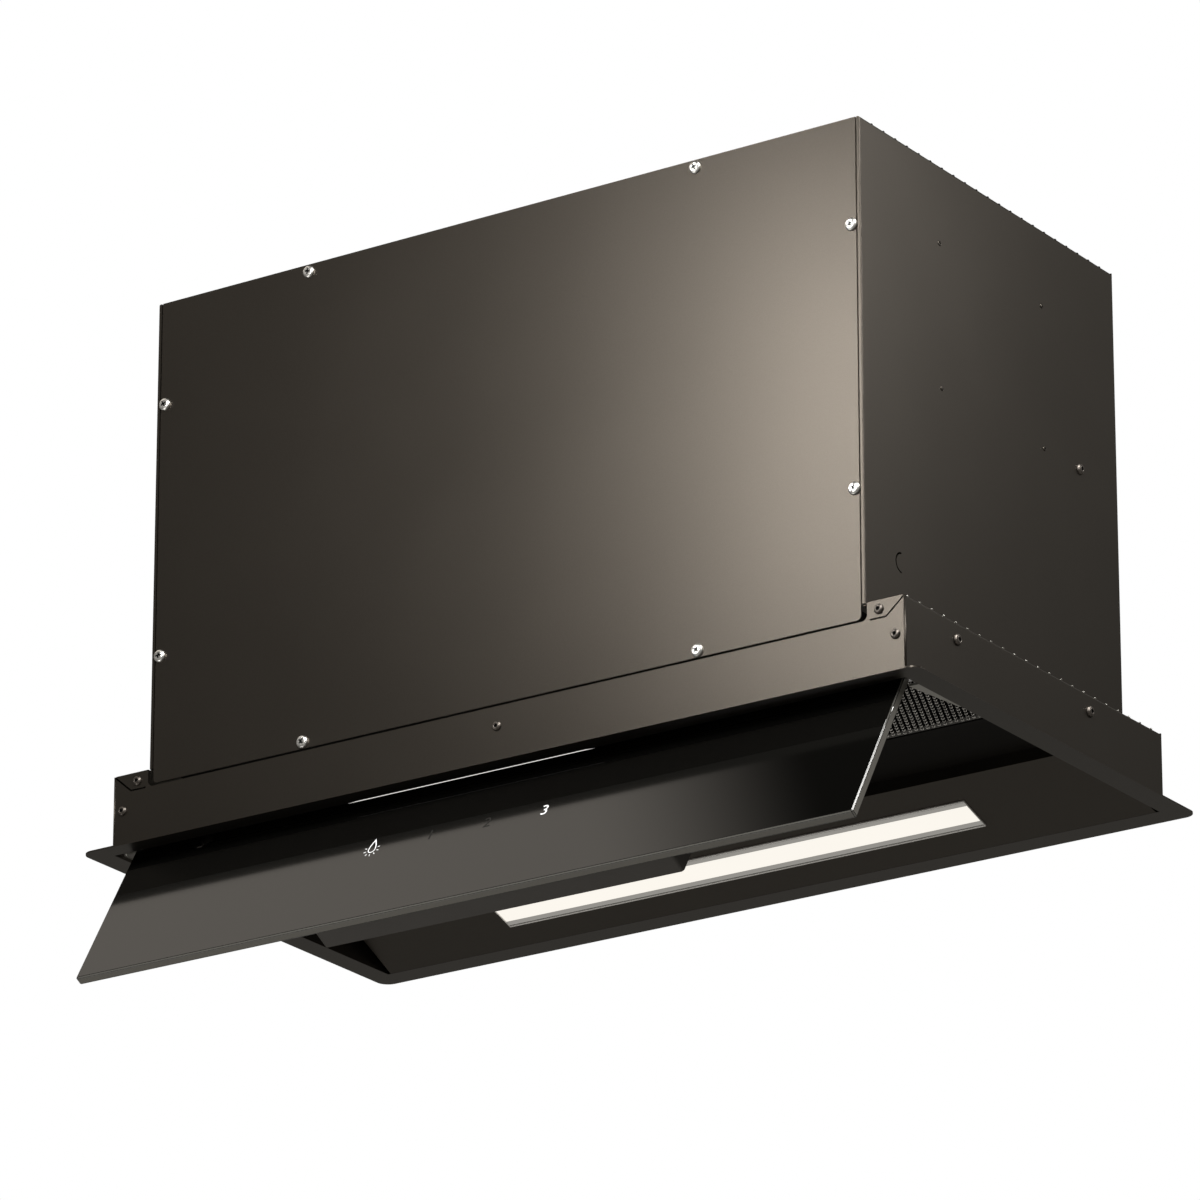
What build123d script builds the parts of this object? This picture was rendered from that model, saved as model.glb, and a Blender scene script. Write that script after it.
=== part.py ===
from build123d import *
from math import asin, cos, hypot, radians, sin
import os

os.makedirs("parts", exist_ok=True)

# Frame: X to the viewer's right, Y to the rear, Z up. The origin is the middle of the
# front lip, on the top face of the flange, which lies against the cabinet's underside.

# Flange and collar
flange_width = 598.0
flange_sheet = 1.0
flange_corner = 8.0
lip_front = 12.8
lip_side = 15.0
lip_rear = 15.1
collar_depth = 289.2
collar_height = 49.3
collar_foot = 2.4
sheet = 0.8
bend = 1.6

# Housing and its front cover
housing_reveal = 26.5
housing_top = 354.6
cover_sheet = 1.0
cover_seam = 39.0
cover_corner = 3.0
seam = 1.5
side_seam = 1.0
notch_gap = 0.8
edge_bead = 2.3
bead_radius = 0.8
front_flange = 14.0
shelf_under = 8.0
rear_flange = 52.0
knockout_setback = 39.6
knockout_level = 86.1
knockout_radius = 6.5
knockout_slot = 1.1

# Slit round each corner tab of the collar front
slit_width = 1.1
slit_reach = (12.8, 23.9)
slit_drop = 11.0

# Fasteners: head radius, head height, shank radius and shank length
cover_screw = (4.0, 2.2, 1.9, 6.0)
collar_screw = (3.1, 1.7, 1.4, 5.0)
side_screw = (3.6, 2.0, 1.6, 5.0)
side_rivet = (1.6, 0.5, 1.2, 2.0)

# Places of the fasteners, from the edges that they hold
cover_screw_spread = 142.0
cover_screw_edge = 6.5
cover_screw_margins = (5.1, 4.9)
cover_screw_rises = (68.1, 82.1)
collar_screw_tab = (17.6, 5.7)
collar_screw_corner = (6.7, 23.1)
collar_screw_drop = 23.6
housing_screw_inset = 44.2
housing_screw_level = 211.0
collar_side_insets = (56.4, 84.0)
collar_side_drop = 10.9
rivet_row_insets = (87.2, 85.4)
rivet_lower = 211.0
rivet_drop = 50.8

# Glass flap, laid flat in its closed place, and its hinge
glass_side_gap = 7.95
glass_sheet = 6.0
glass_front = 5.0
glass_rear = 150.25
glass_chamfer = 1.4
glass_corner = 3.0
pivot_setback = 26.0
pivot_rise = 10.0
flap_swing = 120.4
pin_radius = 2.5
pin_clearance = 0.05
boss_radius = 4.0
arm_width = 22.0
arm_inset = 11.25
arm_front = 9.0
arm_rear = 36.0
arm_sheet = 2.5
arm_tip = (4.0, 1.5)
arm_web = 14.0
bracket_sheet = 2.0
bracket_front = 9.0
bracket_rear = 92.0
bracket_low = 2.0
bracket_high = 45.0
bracket_cut = 22.0
bracket_corner = 3.0
foot_gap = 1.5
foot_sheet = 1.5
foot_reach = (17.6, 11.9)
foot_span = (32.7, 78.8)

# Touch sensor and control box on the back of the glass
sensor_left = -97.0
sensor_right = 62.0
sensor_span = (78.3, 95.3)
sensor_sheet = 1.6
ribbon_width = 18.0
ribbon_sheet = 0.4
control_left = -105.0
control_right = 148.5
control_gap = 5.0
control_length = 34.9
control_height = 14.7
control_wall = 1.6
control_corner = 2.0
control_board_sheet = 1.6
control_board_lift = 4.0
control_board_inset = (6.0, 3.0)
control_post = 6.0

# Grease filter
filter_foot = 103.0
filter_lift = 8.0
filter_slope = 48.0
filter_side_gap = 5.2
filter_length = 48.0
filter_thickness = 5.0
filter_rim = 2.4
filter_end = 4.0
mesh_pitch = 3.5
mesh_depth = 3.4
mesh_sheet = 0.5
spring_inset = 128.0
spring_width = 14.0
spring_length = 30.0
spring_sheet = 0.5

# Inner pan that the control box folds into
pan_front = 107.2
pan_lift = 29.0
pan_flange = 16.0
pan_lip = 3.8
pan_flange_insets = (4.8, 12.4)

# Lamp panel and lamp
panel_gap = 0.3
panel_run = 66.7
panel_rise = 22.4
panel_side_gaps = (2.2, 10.2)
lamp_length = 349.0
lamp_width = 26.7
lamp_middle = 34.6
lamp_rim = 2.0
lamp_step = 1.0
lamp_wall = 1.2
lamp_depth = 10.0
diffuser_sheet = 2.0
diffuser_recess = 0.4
lamp_board_sheet = 1.6
lamp_board_lift = 6.0
lamp_chip = (3.5, 2.8, 0.8)
lamp_chips = 12
driver_size = (130.0, 42.0, 22.0)
driver_corner = 3.0
driver_side_gap = 68.2
driver_inset = 42.4

# Slim light line behind the front lip
light_left = -110.0
light_right = 69.0
light_sheet = 1.2
light_height = 5.0
light_board_sheet = 0.8
light_board_height = 7.0

# Blower
blower_y = 122.0
blower_z = 200.0
impeller_radius = 78.0
impeller_half = 66.0
blade_inner = 66.0
blade_count = 32
blade_sheet = 1.2
blade_turn = 9.0
blade_cup = 1.5
blade_knee = 0.32
hub_radius = 10.0
hub_disc = 2.0
hub_disc_inset = 1.0
hub_length = 20.0
end_ring = 2.0
scroll_half = 75.0
scroll_sheet = 1.0
scroll_radius = 92.0
scroll_step = 12.0
tongue_y = 30.0
tongue_bend = 6.0
outlet_level = 100.0
inlet_radius = 62.0
inlet_lip = 5.0
motor_radius = 42.0
motor_gap = 4.0
motor_chamfer = 6.0
motor_fin_count = 8
motor_fin = 2.0
shaft_radius = 4.0
shaft_tail = 6.0
bracket_plate = 2.0
bracket_arm = 14.0
bracket_reach = 76.0
bracket_disc = 34.0
bracket_bore_gap = 2.0
bracket_screw_inset = 6.0
bracket_screw = (4.0, 2.2, 1.9, 4.0)

# Outlet spigot and its two backdraught flaps
spigot_radius = 74.5
spigot_wall = 2.0
spigot_height = 38.0
spigot_flange = 86.0
spigot_base = 2.0
spigot_screw_radius = 80.5
ledge_depth = 5.0
ledge_sheet = 2.0
flap_pin_lift = 9.0
flap_pin_radius = 1.5
flap_barrel = 3.0
flap_radius = 70.0
flap_sheet = 1.0
flap_air = 0.4
flap_rest_gap = 0.1
flap_knuckle = 24.0
flap_barrel_half = 60.0

# Side plates and what they carry
side_plate_sheet = 1.2
side_plate_edge = 12.0
side_plate_corner = 4.0
electronics_size = (38.0, 104.0, 78.0)
electronics_wall = 2.0
electronics_corner = 4.0
electronics_board = 1.6
board_gap = 3.0
board_post = 6.0
transformer_size = (16.0, 28.0, 24.0)
terminal_size = (12.0, 20.0, 56.0)
block_spread = (18.0, 16.0)
capacitor_radius = 17.5
capacitor_height = 66.0
capacitor_band = 1.2
capacitor_band_height = 12.0
capacitor_band_ear = 5.6
gland_side = 52.5
gland_inset = 44.2
gland_radius = 8.0
gland_bore = 4.0
gland_nut = 11.0
gland_nut_height = 5.6
gland_cap = 8.8
gland_height = 14.0
gland_chamfer = 2.0
fixing_side = 37.5
fixing_insets = (40.0, 39.2)
fixing_radius = 2.75

# Places that several pieces share
front = lip_front / 2
rear = front + collar_depth
flange_depth = lip_front + collar_depth + lip_rear
collar_half = flange_width / 2 - lip_side
inner_half = collar_half - sheet
inner_front = front + sheet
inner_rear = rear - sheet
mouth_rear = inner_rear - collar_foot
housing_half = collar_half - housing_reveal
housing_inner = housing_half - sheet
cover_half = housing_half - edge_bead - side_seam
underside = -flange_sheet
glass_half = inner_half - glass_side_gap
glass_back = underside + glass_sheet
arm_outer = glass_half - arm_inset
filter_half = inner_half - filter_side_gap
panel_rear = mouth_rear - panel_gap
panel_front = panel_rear - panel_run
pivot_y = front + pivot_setback
pivot_z = underside + pivot_rise
shelf = collar_height - sheet
ceiling = pan_lift
axis_y = front + blower_y
axis_z = blower_z
flap_turn = Pos(0, pivot_y, pivot_z) * Rot(-flap_swing, 0, 0) * Pos(0, -pivot_y, -pivot_z)


# A rectangular block between two corners given as ranges
def block(xs, ys, zs):
    middle = Pos(sum(xs) / 2, sum(ys) / 2, sum(zs) / 2)
    return middle * Box(xs[1] - xs[0], ys[1] - ys[0], zs[1] - zs[0])


# A flat outline in x and z, with its front face at y
def front_plate(outline, y, thickness):
    return extrude(Plane.XZ.offset(-(y + thickness)) * outline, thickness)


# An outline in y and z, drawn through from one x to another
def across(outline, left, right):
    return extrude(Plane.YZ.offset(left) * outline, right - left)


# A closed outline from its corners
def outline_of(*corners):
    return make_face(Polyline(*corners, close=True))


# The same solid on the left and on the right
def pair(solid):
    return [solid, solid.mirror(Plane.YZ)]


# A turned fastener whose head stands out along the plane's normal
def fastener(sizes, place, domed):
    head_radius, head_height, shank_radius, shank_length = sizes
    head = Pos(0, 0, head_height / 2) * Cylinder(head_radius, head_height)
    top = head.edges().group_by(Axis.Z)[-1]
    head = chamfer(top, head_height / 2) if domed else chamfer(top, head_height / 5)
    shank = Pos(0, 0, -shank_length / 2) * Cylinder(shank_radius, shank_length)
    return place * (head + shank)


# Plane on the front of the hood, facing forward
def facing_front(x, y, z):
    return Plane(origin=(x, y, z), x_dir=(1, 0, 0), z_dir=(0, -1, 0))


# Plane on the left or right of the hood, facing outward
def facing_side(x, y, z):
    return Plane(origin=(x, y, z), x_dir=(0, 1, 0), z_dir=(1 if x > 0 else -1, 0, 0))


# Round hole for a shank
def shank_hole(sizes, place):
    return place * Cylinder(sizes[2], 4 * sizes[3])


def cover_screw_places():
    edge = housing_half - cover_screw_edge
    spots = [
        (cover_screw_spread, housing_top - cover_screw_margins[0]),
        (edge, housing_top - cover_screw_rises[0]),
        (edge, cover_seam + cover_screw_rises[1]),
        (cover_screw_spread, cover_seam + cover_screw_margins[1]),
    ]
    return [facing_front(side * x, front, z) for x, z in spots for side in (-1, 1)]


def collar_screw_places():
    spots = [(0, collar_height - collar_screw_drop)]
    for inset, drop in (collar_screw_tab, collar_screw_corner):
        for side in (-1, 1):
            spots.append((side * (collar_half - inset), collar_height - drop))
    return [facing_front(x, front, z) for x, z in spots]


def housing_screw_places():
    y = rear - housing_screw_inset
    return [facing_side(side * housing_half, y, housing_screw_level) for side in (-1, 1)]


def collar_side_places():
    z = collar_height - collar_side_drop
    ys = (front + collar_side_insets[0], rear - collar_side_insets[1])
    return [facing_side(side * collar_half, y, z) for y in ys for side in (-1, 1)]


def rivet_rows():
    return front + rivet_row_insets[0], rear - rivet_row_insets[1]


def rivet_levels():
    return rivet_lower, housing_top - rivet_drop


def rivet_places():
    sides = (-housing_half, housing_half)
    return [facing_side(x, y, z) for y in rivet_rows() for z in rivet_levels() for x in sides]


# Flange: a flat frame with rounded corners, set round the foot of the collar
def make_flange_frame():
    plate = Pos(0, flange_depth / 2 - front) * RectangleRounded(flange_width, flange_depth, flange_corner)
    mouth = Pos(0, front + collar_depth / 2) * Rectangle(2 * collar_half, collar_depth)
    return extrude(Pos(0, 0, underside) * (plate - mouth), flange_sheet)


# Collar front: stops under the cover, and stands up in a tab at each end
def make_collar_front():
    tab = housing_half + notch_gap
    low = cover_seam - seam / 2
    face = outline_of(
        (-collar_half, underside), (collar_half, underside), (collar_half, collar_height),
        (tab, collar_height), (tab, low), (-tab, low), (-tab, collar_height), (-collar_half, collar_height),
    )
    inner_corners = [v for v in face.vertices() if abs(abs(v.X) - tab) < 0.01 and abs(v.Y - low) < 0.01]
    face = fillet(inner_corners, cover_corner + notch_gap)
    plate = front_plate(face, front, sheet)
    for side in (-1, 1):
        points = [(side * collar_half, collar_height)]
        for reach in slit_reach:
            points.append((side * (collar_half - reach), collar_height - slit_drop))
        plate -= front_plate(trace(Polyline(*points), line_width=slit_width), front, sheet)
    for place in collar_screw_places():
        plate -= shank_hole(collar_screw, place)
    return plate


# Collar side: an upright wall that folds in at the top as a shelf for the housing
def make_collar_side():
    inner_edge = housing_half - shelf_under
    profile = outline_of(
        (collar_half, underside), (collar_half, collar_height), (inner_edge, collar_height),
        (inner_edge, shelf), (inner_half, shelf), (inner_half, underside),
    )
    outer_bend = profile.vertices().sort_by(lambda v: v.X + v.Y)[-1]
    wall = front_plate(fillet(outer_bend, bend), inner_front, collar_depth - 2 * sheet)
    relief = (inner_edge, housing_half + notch_gap)
    wall -= block(relief, (inner_front, front + cover_sheet + notch_gap), (shelf, collar_height))
    for place in collar_side_places():
        if place.origin.X > 0:
            wall -= shank_hole(side_screw, place)
    return wall


# Collar rear: an upright wall with a narrow foot that the lamp panel meets
def make_collar_rear():
    wall = block((-collar_half, collar_half), (inner_rear, rear), (underside, collar_height))
    return wall + block((-inner_half, inner_half), (mouth_rear, inner_rear), (underside, underside + sheet))


# Housing shell: sides and top folded from one sheet, with a joggled front edge for the cover
def make_housing_shell():
    seat = front + cover_sheet
    height = housing_top - collar_height
    side = outline_of(
        (housing_half, inner_rear), (housing_half, front), (housing_half - edge_bead, front),
        (housing_half - edge_bead, seat), (housing_half - front_flange, seat),
        (housing_half - front_flange, seat + sheet), (housing_inner, seat + sheet),
        (housing_inner, inner_rear),
    )
    corner = side.vertices().sort_by(lambda v: v.X - v.Y)[-1]
    wall = extrude(Pos(0, 0, collar_height) * fillet(corner, bead_radius), height)
    top = block((-housing_inner, housing_inner), (seat, inner_rear), (housing_top - sheet, housing_top))
    apron_low = housing_top - front_flange
    apron = block((-housing_inner, housing_inner), (seat, seat + sheet), (apron_low, housing_top - sheet))
    left_wall = wall.mirror(Plane.YZ)
    shell = wall + left_wall + top + apron
    envelope = Pos(0, collar_height + height / 2) * Rectangle(2 * housing_half, height)
    envelope = fillet(envelope.vertices().group_by(Axis.Y)[-1], bend)
    shell &= front_plate(envelope, front, collar_depth)
    shell -= Pos(0, duct_centre(), housing_top) * Cylinder(spigot_radius - spigot_wall, 4 * sheet)
    shell -= gland_place() * Cylinder(gland_radius, 4 * sheet)
    for place in cover_screw_places():
        shell -= shank_hole(cover_screw, place)
    for place in housing_screw_places():
        shell -= shank_hole(side_screw, place)
    for place in rivet_places():
        shell -= shank_hole(side_rivet, place)
    fixing_half = housing_half - fixing_side
    for x in (-fixing_half, fixing_half):
        for y in (front + fixing_insets[0], rear - fixing_insets[1]):
            shell -= Pos(x, y, housing_top) * Cylinder(fixing_radius, 4 * sheet)
    ring = Circle(knockout_radius) - Circle(knockout_radius - knockout_slot)
    ring -= Pos(knockout_radius, 0) * Rectangle(2 * knockout_radius, 3 * knockout_radius)
    for side in (-1, 1):
        wall_plane = Plane.YZ.offset(side * housing_half - 2 * sheet)
        shell -= extrude(wall_plane * Pos(front + knockout_setback, knockout_level) * ring, 4 * sheet)
    return shell


# Rear panel: a flat sheet with deep side returns that lie inside the shell
def make_rear_panel():
    plate = block((-housing_half, housing_half), (inner_rear, rear), (collar_height, housing_top))
    reach = (inner_rear - rear_flange, inner_rear)
    tall = (collar_height, housing_top - 2 * front_flange)
    lips = pair(block((housing_inner - sheet, housing_inner), reach, tall))
    panel = plate + lips[0] + lips[1]
    for place in housing_screw_places():
        panel -= shank_hole(side_screw, place)
    return panel


# Front cover: a flat plate flush with the collar, its lower corners rounded
def make_front_cover():
    low = cover_seam + seam / 2
    height = housing_top - low
    face = Pos(0, low + height / 2) * Rectangle(2 * cover_half, height)
    face = fillet(face.vertices().group_by(Axis.Y)[0], cover_corner)
    plate = front_plate(face, front, cover_sheet)
    for place in cover_screw_places():
        plate -= shank_hole(cover_screw, place)
    return plate


# Plenum rail: the plate over the filter, turned down at the front behind the cover
def make_plenum_rail():
    seat = front + cover_sheet
    run = filter_length * cos(radians(filter_slope))
    edge = front + filter_foot - run
    inner_edge = housing_half - shelf_under
    low = cover_seam + seam
    profile = outline_of(
        (seat, low), (seat, collar_height), (edge, collar_height), (edge, shelf),
        (seat + sheet, shelf), (seat + sheet, low),
    )
    rail = across(profile, -inner_edge, inner_edge)
    for place in cover_screw_places():
        rail -= shank_hole(cover_screw, place)
    return rail


# Inner pan: lip under the filter, front wall and ceiling in one fold, with side flanges
def make_inner_pan():
    wall = front + pan_front
    lip_top = underside + filter_lift
    top = ceiling + sheet
    profile = outline_of(
        (wall - pan_lip, lip_top - sheet), (wall + sheet, lip_top - sheet), (wall + sheet, ceiling),
        (inner_rear, ceiling), (inner_rear, top), (wall, top), (wall, lip_top), (wall - pan_lip, lip_top),
    )
    pan = across(profile, -inner_half, inner_half)
    ends = (wall + pan_flange_insets[0], inner_rear - pan_flange_insets[1])
    for lip in pair(block((inner_half - sheet, inner_half), ends, (top, top + pan_flange))):
        pan += lip
    for place in collar_side_places():
        pan -= shank_hole(side_screw, place)
    return pan


# Frame of reference of the filter: local y runs down the slope, z is up through the filter
def filter_plane():
    lean = radians(filter_slope)
    foot = (0, front + filter_foot, underside + filter_lift)
    return Plane(origin=foot, x_dir=(1, 0, 0), z_dir=(0, sin(lean), cos(lean)))


def make_filter_frame():
    middle = Pos(0, -filter_length / 2, filter_thickness / 2)
    body = middle * Box(2 * filter_half, filter_length, filter_thickness)
    window = (2 * (filter_half - filter_end), filter_length - 2 * filter_rim, 2 * filter_thickness)
    return filter_plane() * (body - middle * Box(*window))


# Filter mesh: one pleated sheet, its pleats running down the slope
def make_filter_mesh():
    half = filter_half - filter_end
    count = int(2 * half / mesh_pitch)
    start = -count * mesh_pitch / 2
    rise = mesh_depth - mesh_sheet
    low = (filter_thickness - mesh_depth) / 2
    points = []
    for i in range(2 * count + 1):
        points.append((start + i * mesh_pitch / 2, low + rise * (i % 2)))
    upper = [(x, z + mesh_sheet) for x, z in reversed(points)]
    pleats = outline_of(*points, *upper)
    ends = Plane(origin=(0, -filter_rim, 0), x_dir=(1, 0, 0), z_dir=(0, -1, 0))
    return filter_plane() * extrude(ends * pleats, filter_length - 2 * filter_rim)


# Leaf springs: bowed strips under the plenum rail that press the filter's upper edge down
def make_filter_springs():
    top = filter_plane() * Pos(0, -filter_length, filter_thickness)
    y = top.position.Y
    z = top.position.Z
    reach = spring_length / 2
    upper = ThreePointArc((y - reach, shelf), (y, z + spring_sheet), (y + reach, shelf))
    lower = ThreePointArc((y - reach, shelf - spring_sheet), (y, z), (y + reach, shelf - spring_sheet))
    ends = Line(upper @ 0, lower @ 0) + Line(upper @ 1, lower @ 1)
    left = filter_half - spring_inset - spring_width / 2
    leaf = across(make_face(upper + lower + ends), left, left + spring_width)
    return Compound(children=pair(leaf))


# Lamp panel: an inclined plate behind the recess, turned up at its front edge
def panel_plane():
    lean = asin(panel_rise / hypot(panel_run, panel_rise))
    foot = (0, panel_rear, underside)
    return Plane(origin=foot, x_dir=(1, 0, 0), z_dir=(0, sin(lean), cos(lean)))


def make_lamp_panel():
    slope = hypot(panel_run, panel_rise)
    wide = inner_half - panel_side_gaps[0]
    narrow = inner_half - panel_side_gaps[1]
    face = outline_of((-wide, 0), (wide, 0), (narrow, -slope), (-narrow, -slope))
    window = Pos(0, -lamp_middle) * Rectangle(lamp_length - 2 * lamp_rim, lamp_width - 2 * lamp_rim)
    plate = panel_plane() * extrude(face - window, sheet)
    edge_top = underside + panel_rise
    return plate + block((-narrow, narrow), (panel_front, panel_front + sheet), (edge_top, ceiling))


def make_lamp_frame():
    middle = Pos(0, -lamp_middle)
    rim = extrude(Pos(0, 0, -lamp_step) * middle * Rectangle(lamp_length, lamp_width), lamp_step)
    inner_length = lamp_length - 2 * lamp_rim
    inner_width = lamp_width - 2 * lamp_rim
    body = extrude(middle * Rectangle(inner_length, inner_width), lamp_depth)
    cavity = middle * Rectangle(inner_length - 2 * lamp_wall, inner_width - 2 * lamp_wall)
    hollow = extrude(Pos(0, 0, -lamp_step) * cavity, lamp_depth + lamp_step - lamp_wall)
    return panel_plane() * (rim + body - hollow)


def make_lamp_diffuser():
    inset = 2 * (lamp_rim + lamp_wall)
    outer_face = Pos(0, -lamp_middle, diffuser_recess - lamp_step)
    face = outer_face * Rectangle(lamp_length - inset, lamp_width - inset)
    return panel_plane() * extrude(face, diffuser_sheet)


def make_lamp_board():
    inset = 2 * (lamp_rim + lamp_wall)
    face = Pos(0, -lamp_middle, lamp_board_lift) * Rectangle(lamp_length - inset, lamp_width - inset)
    board = extrude(face, lamp_board_sheet)
    step = (lamp_length - inset) / lamp_chips
    row = Pos(0, -lamp_middle, lamp_board_lift - lamp_chip[2] / 2) * GridLocations(step, 0, lamp_chips, 1)
    for spot in row:
        board += spot * Box(*lamp_chip)
    return panel_plane() * board


def make_lamp_driver():
    length, width, height = driver_size
    y = inner_rear - driver_inset - width / 2
    x = inner_half - driver_side_gap - length / 2
    body = Pos(x, y, ceiling + sheet + height / 2) * Box(length, width, height)
    return fillet(body.edges().filter_by(Axis.Z), driver_corner)


# Light line: a thin upright lens whose lower edge glows behind the front lip
def make_front_light_lens():
    return block((light_left, light_right), (inner_front, inner_front + light_sheet),
                 (underside, underside + light_height))


def make_front_light_board():
    low = underside + light_height
    return block((light_left, light_right), (inner_front, inner_front + light_board_sheet),
                 (low, low + light_board_height))


# Fixed hinge bracket: a plate on the collar side with a tapered foot that points inward
def make_hinge_bracket():
    outer = inner_half
    plate_left = outer - bracket_sheet
    near = front + bracket_front
    far = front + bracket_rear
    low = underside + bracket_low
    high = underside + bracket_high
    slope = ((far, high - bracket_cut), (far - bracket_cut, high))
    face = outline_of((near, low), (far, low), *slope, (near, high))
    plate = across(fillet(face.vertices(), bracket_corner), plate_left, outer)
    foot_low = glass_back + foot_gap
    foot = outline_of(
        (plate_left, front + foot_span[0]), (outer - foot_reach[0], front + foot_span[0]),
        (outer - foot_reach[1], front + foot_span[1]), (plate_left, front + foot_span[1]),
    )
    bracket = plate + extrude(Pos(0, 0, foot_low) * foot, foot_sheet)
    bracket -= facing_side(outer, pivot_y, pivot_z) * Cylinder(pin_radius + pin_clearance, 4 * bracket_sheet)
    for place in collar_side_places():
        if place.origin.X > 0:
            bracket -= shank_hole(side_screw, place)
    return bracket


# Moving hinge arm: a foot bonded to the glass with a boss round the pin
def make_hinge_arm():
    foot = outline_of(
        (pivot_y - arm_front, glass_back), (pivot_y + arm_rear, glass_back),
        (pivot_y + arm_rear, glass_back + arm_tip[1]),
        (pivot_y + arm_rear - arm_tip[0], glass_back + arm_sheet),
        (pivot_y - arm_front, glass_back + arm_sheet),
    )
    boss = Pos(pivot_y, pivot_z) * Circle(boss_radius)
    web = outline_of(
        (pivot_y, glass_back), (pivot_y + arm_web, glass_back), (pivot_y + arm_web, glass_back + arm_sheet),
        (pivot_y + boss_radius * 0.6, pivot_z + boss_radius * 0.8), (pivot_y, pivot_z),
    )
    profile = foot + boss + web - Pos(pivot_y, pivot_z) * Circle(pin_radius)
    return across(profile, arm_outer - arm_width, arm_outer)


def make_hinge_pins():
    length = inner_half - (arm_outer - arm_width)
    pin = facing_side(inner_half - length / 2, pivot_y, pivot_z) * Cylinder(pin_radius, length)
    return Compound(children=pair(pin))


# Glass: a flat pane with cut corners and polished bevels all round
def make_glass_flap():
    length = glass_rear - glass_front
    face = Pos(0, front + glass_front + length / 2) * Rectangle(2 * glass_half, length)
    face = chamfer(face.vertices(), glass_corner)
    pane = extrude(Pos(0, 0, underside) * face, glass_sheet)
    rims = pane.edges().group_by(Axis.Z)
    return chamfer(rims[0] + rims[-1], glass_chamfer)


def make_sensor_board():
    return block((sensor_left, sensor_right), (front + sensor_span[0], front + sensor_span[1]),
                 (glass_back, glass_back + sensor_sheet))


def control_span():
    high = front + glass_rear - control_gap
    return high - control_length, high


def make_sensor_ribbon():
    return block((-ribbon_width / 2, ribbon_width / 2), (front + sensor_span[1], control_span()[0]),
                 (glass_back, glass_back + ribbon_sheet))


# Control housing: a shallow tray on the glass, open away from it
def make_control_housing():
    body = block((control_left, control_right), control_span(), (glass_back, glass_back + control_height))
    body = fillet(body.edges().filter_by(Axis.Z), control_corner)
    low, high = control_span()
    inner = block((control_left + control_wall, control_right - control_wall),
                  (low + control_wall, high - control_wall),
                  (glass_back + control_wall, glass_back + control_height))
    return body - inner


def make_control_lid():
    low, high = control_span()
    top = glass_back + control_height
    return block((control_left + control_wall, control_right - control_wall),
                 (low + control_wall, high - control_wall), (top - control_wall, top))


def make_control_board():
    low, high = control_span()
    floor = glass_back + control_wall
    lift = floor + control_board_lift
    inset_x, inset_y = control_board_inset
    xs = (control_left + inset_x, control_right - inset_x)
    board = block(xs, (low + inset_y, high - inset_y), (lift, lift + control_board_sheet))
    post = Box(control_post, control_post, control_board_lift)
    for x in (xs[0] + control_post, xs[1] - control_post):
        board += Pos(x, (low + high) / 2, (floor + lift) / 2) * post
    return board


# Rear of the scroll's outlet, from the axis
def scroll_back():
    return scroll_step / 2 + scroll_radius + 2 * scroll_step


# Inside of the scroll: three widening quarter arcs, then straight up to the outlet
def scroll_outline():
    step = scroll_step
    first = (-step / 2, -step / 2)
    second = (step / 2, -step / 2)
    third = (step / 2, step / 2)
    top = (first[0], first[1] + scroll_radius)
    back = (scroll_back(), third[1])
    tongue = (tongue_y, top[1] + tongue_bend)
    line = Line(top, (tongue_y - tongue_bend, top[1]))
    line += CenterArc((tongue_y - tongue_bend, tongue[1]), tongue_bend, -90, 90)
    line += Line(tongue, (tongue_y, outlet_level))
    line += Line((tongue_y, outlet_level), (back[0], outlet_level))
    line += Line((back[0], outlet_level), back)
    line += CenterArc(third, scroll_radius + 2 * step, 0, -90)
    line += CenterArc(second, scroll_radius + step, -90, -90)
    line += CenterArc(first, scroll_radius, 180, -90)
    return Pos(axis_y, axis_z) * make_face(line)


def make_scroll_wall():
    inside = scroll_outline()
    outside = offset(inside, scroll_sheet)
    above = Pos(axis_y, axis_z + 2 * outlet_level) * Rectangle(4 * outlet_level, 2 * outlet_level)
    return across(outside - inside - above, -scroll_half, scroll_half)


def make_scroll_side():
    outside = offset(scroll_outline(), scroll_sheet)
    above = Pos(axis_y, axis_z + 2 * outlet_level) * Rectangle(4 * outlet_level, 2 * outlet_level)
    cheek = across(outside - above, scroll_half, scroll_half + scroll_sheet)
    centre = Plane.YZ.offset(scroll_half - inlet_lip) * Pos(axis_y, axis_z)
    cheek -= extrude(centre * Circle(inlet_radius), 4 * inlet_lip)
    lip = extrude(centre * (Circle(inlet_radius + scroll_sheet) - Circle(inlet_radius)), inlet_lip)
    return cheek + lip


# Transition from the scroll's square outlet to the round spigot
def duct_centre():
    return axis_y + (tongue_y + scroll_back()) / 2


def make_outlet_duct():
    low = Pos(0, duct_centre(), axis_z + outlet_level)
    high = Pos(0, duct_centre(), housing_top - sheet)
    shells = []
    for wall in (scroll_sheet, 0):
        half_x = scroll_half + wall
        half_y = (scroll_back() - tongue_y) / 2 + wall
        corners = [(half_x, half_y), (-half_x, half_y), (-half_x, -half_y), (half_x, -half_y)]
        middles = [(0, half_y), (-half_x, 0), (0, -half_y), (half_x, 0)]
        foot = outline_of(*[point for both in zip(corners, middles) for point in both])
        arcs = [CenterArc((0, 0), spigot_radius - spigot_wall + wall, 45 * i, 45) for i in range(1, 9)]
        shells.append(loft([low * foot, high * make_face(arcs)], ruled=True))
    return shells[0] - shells[1]


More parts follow.
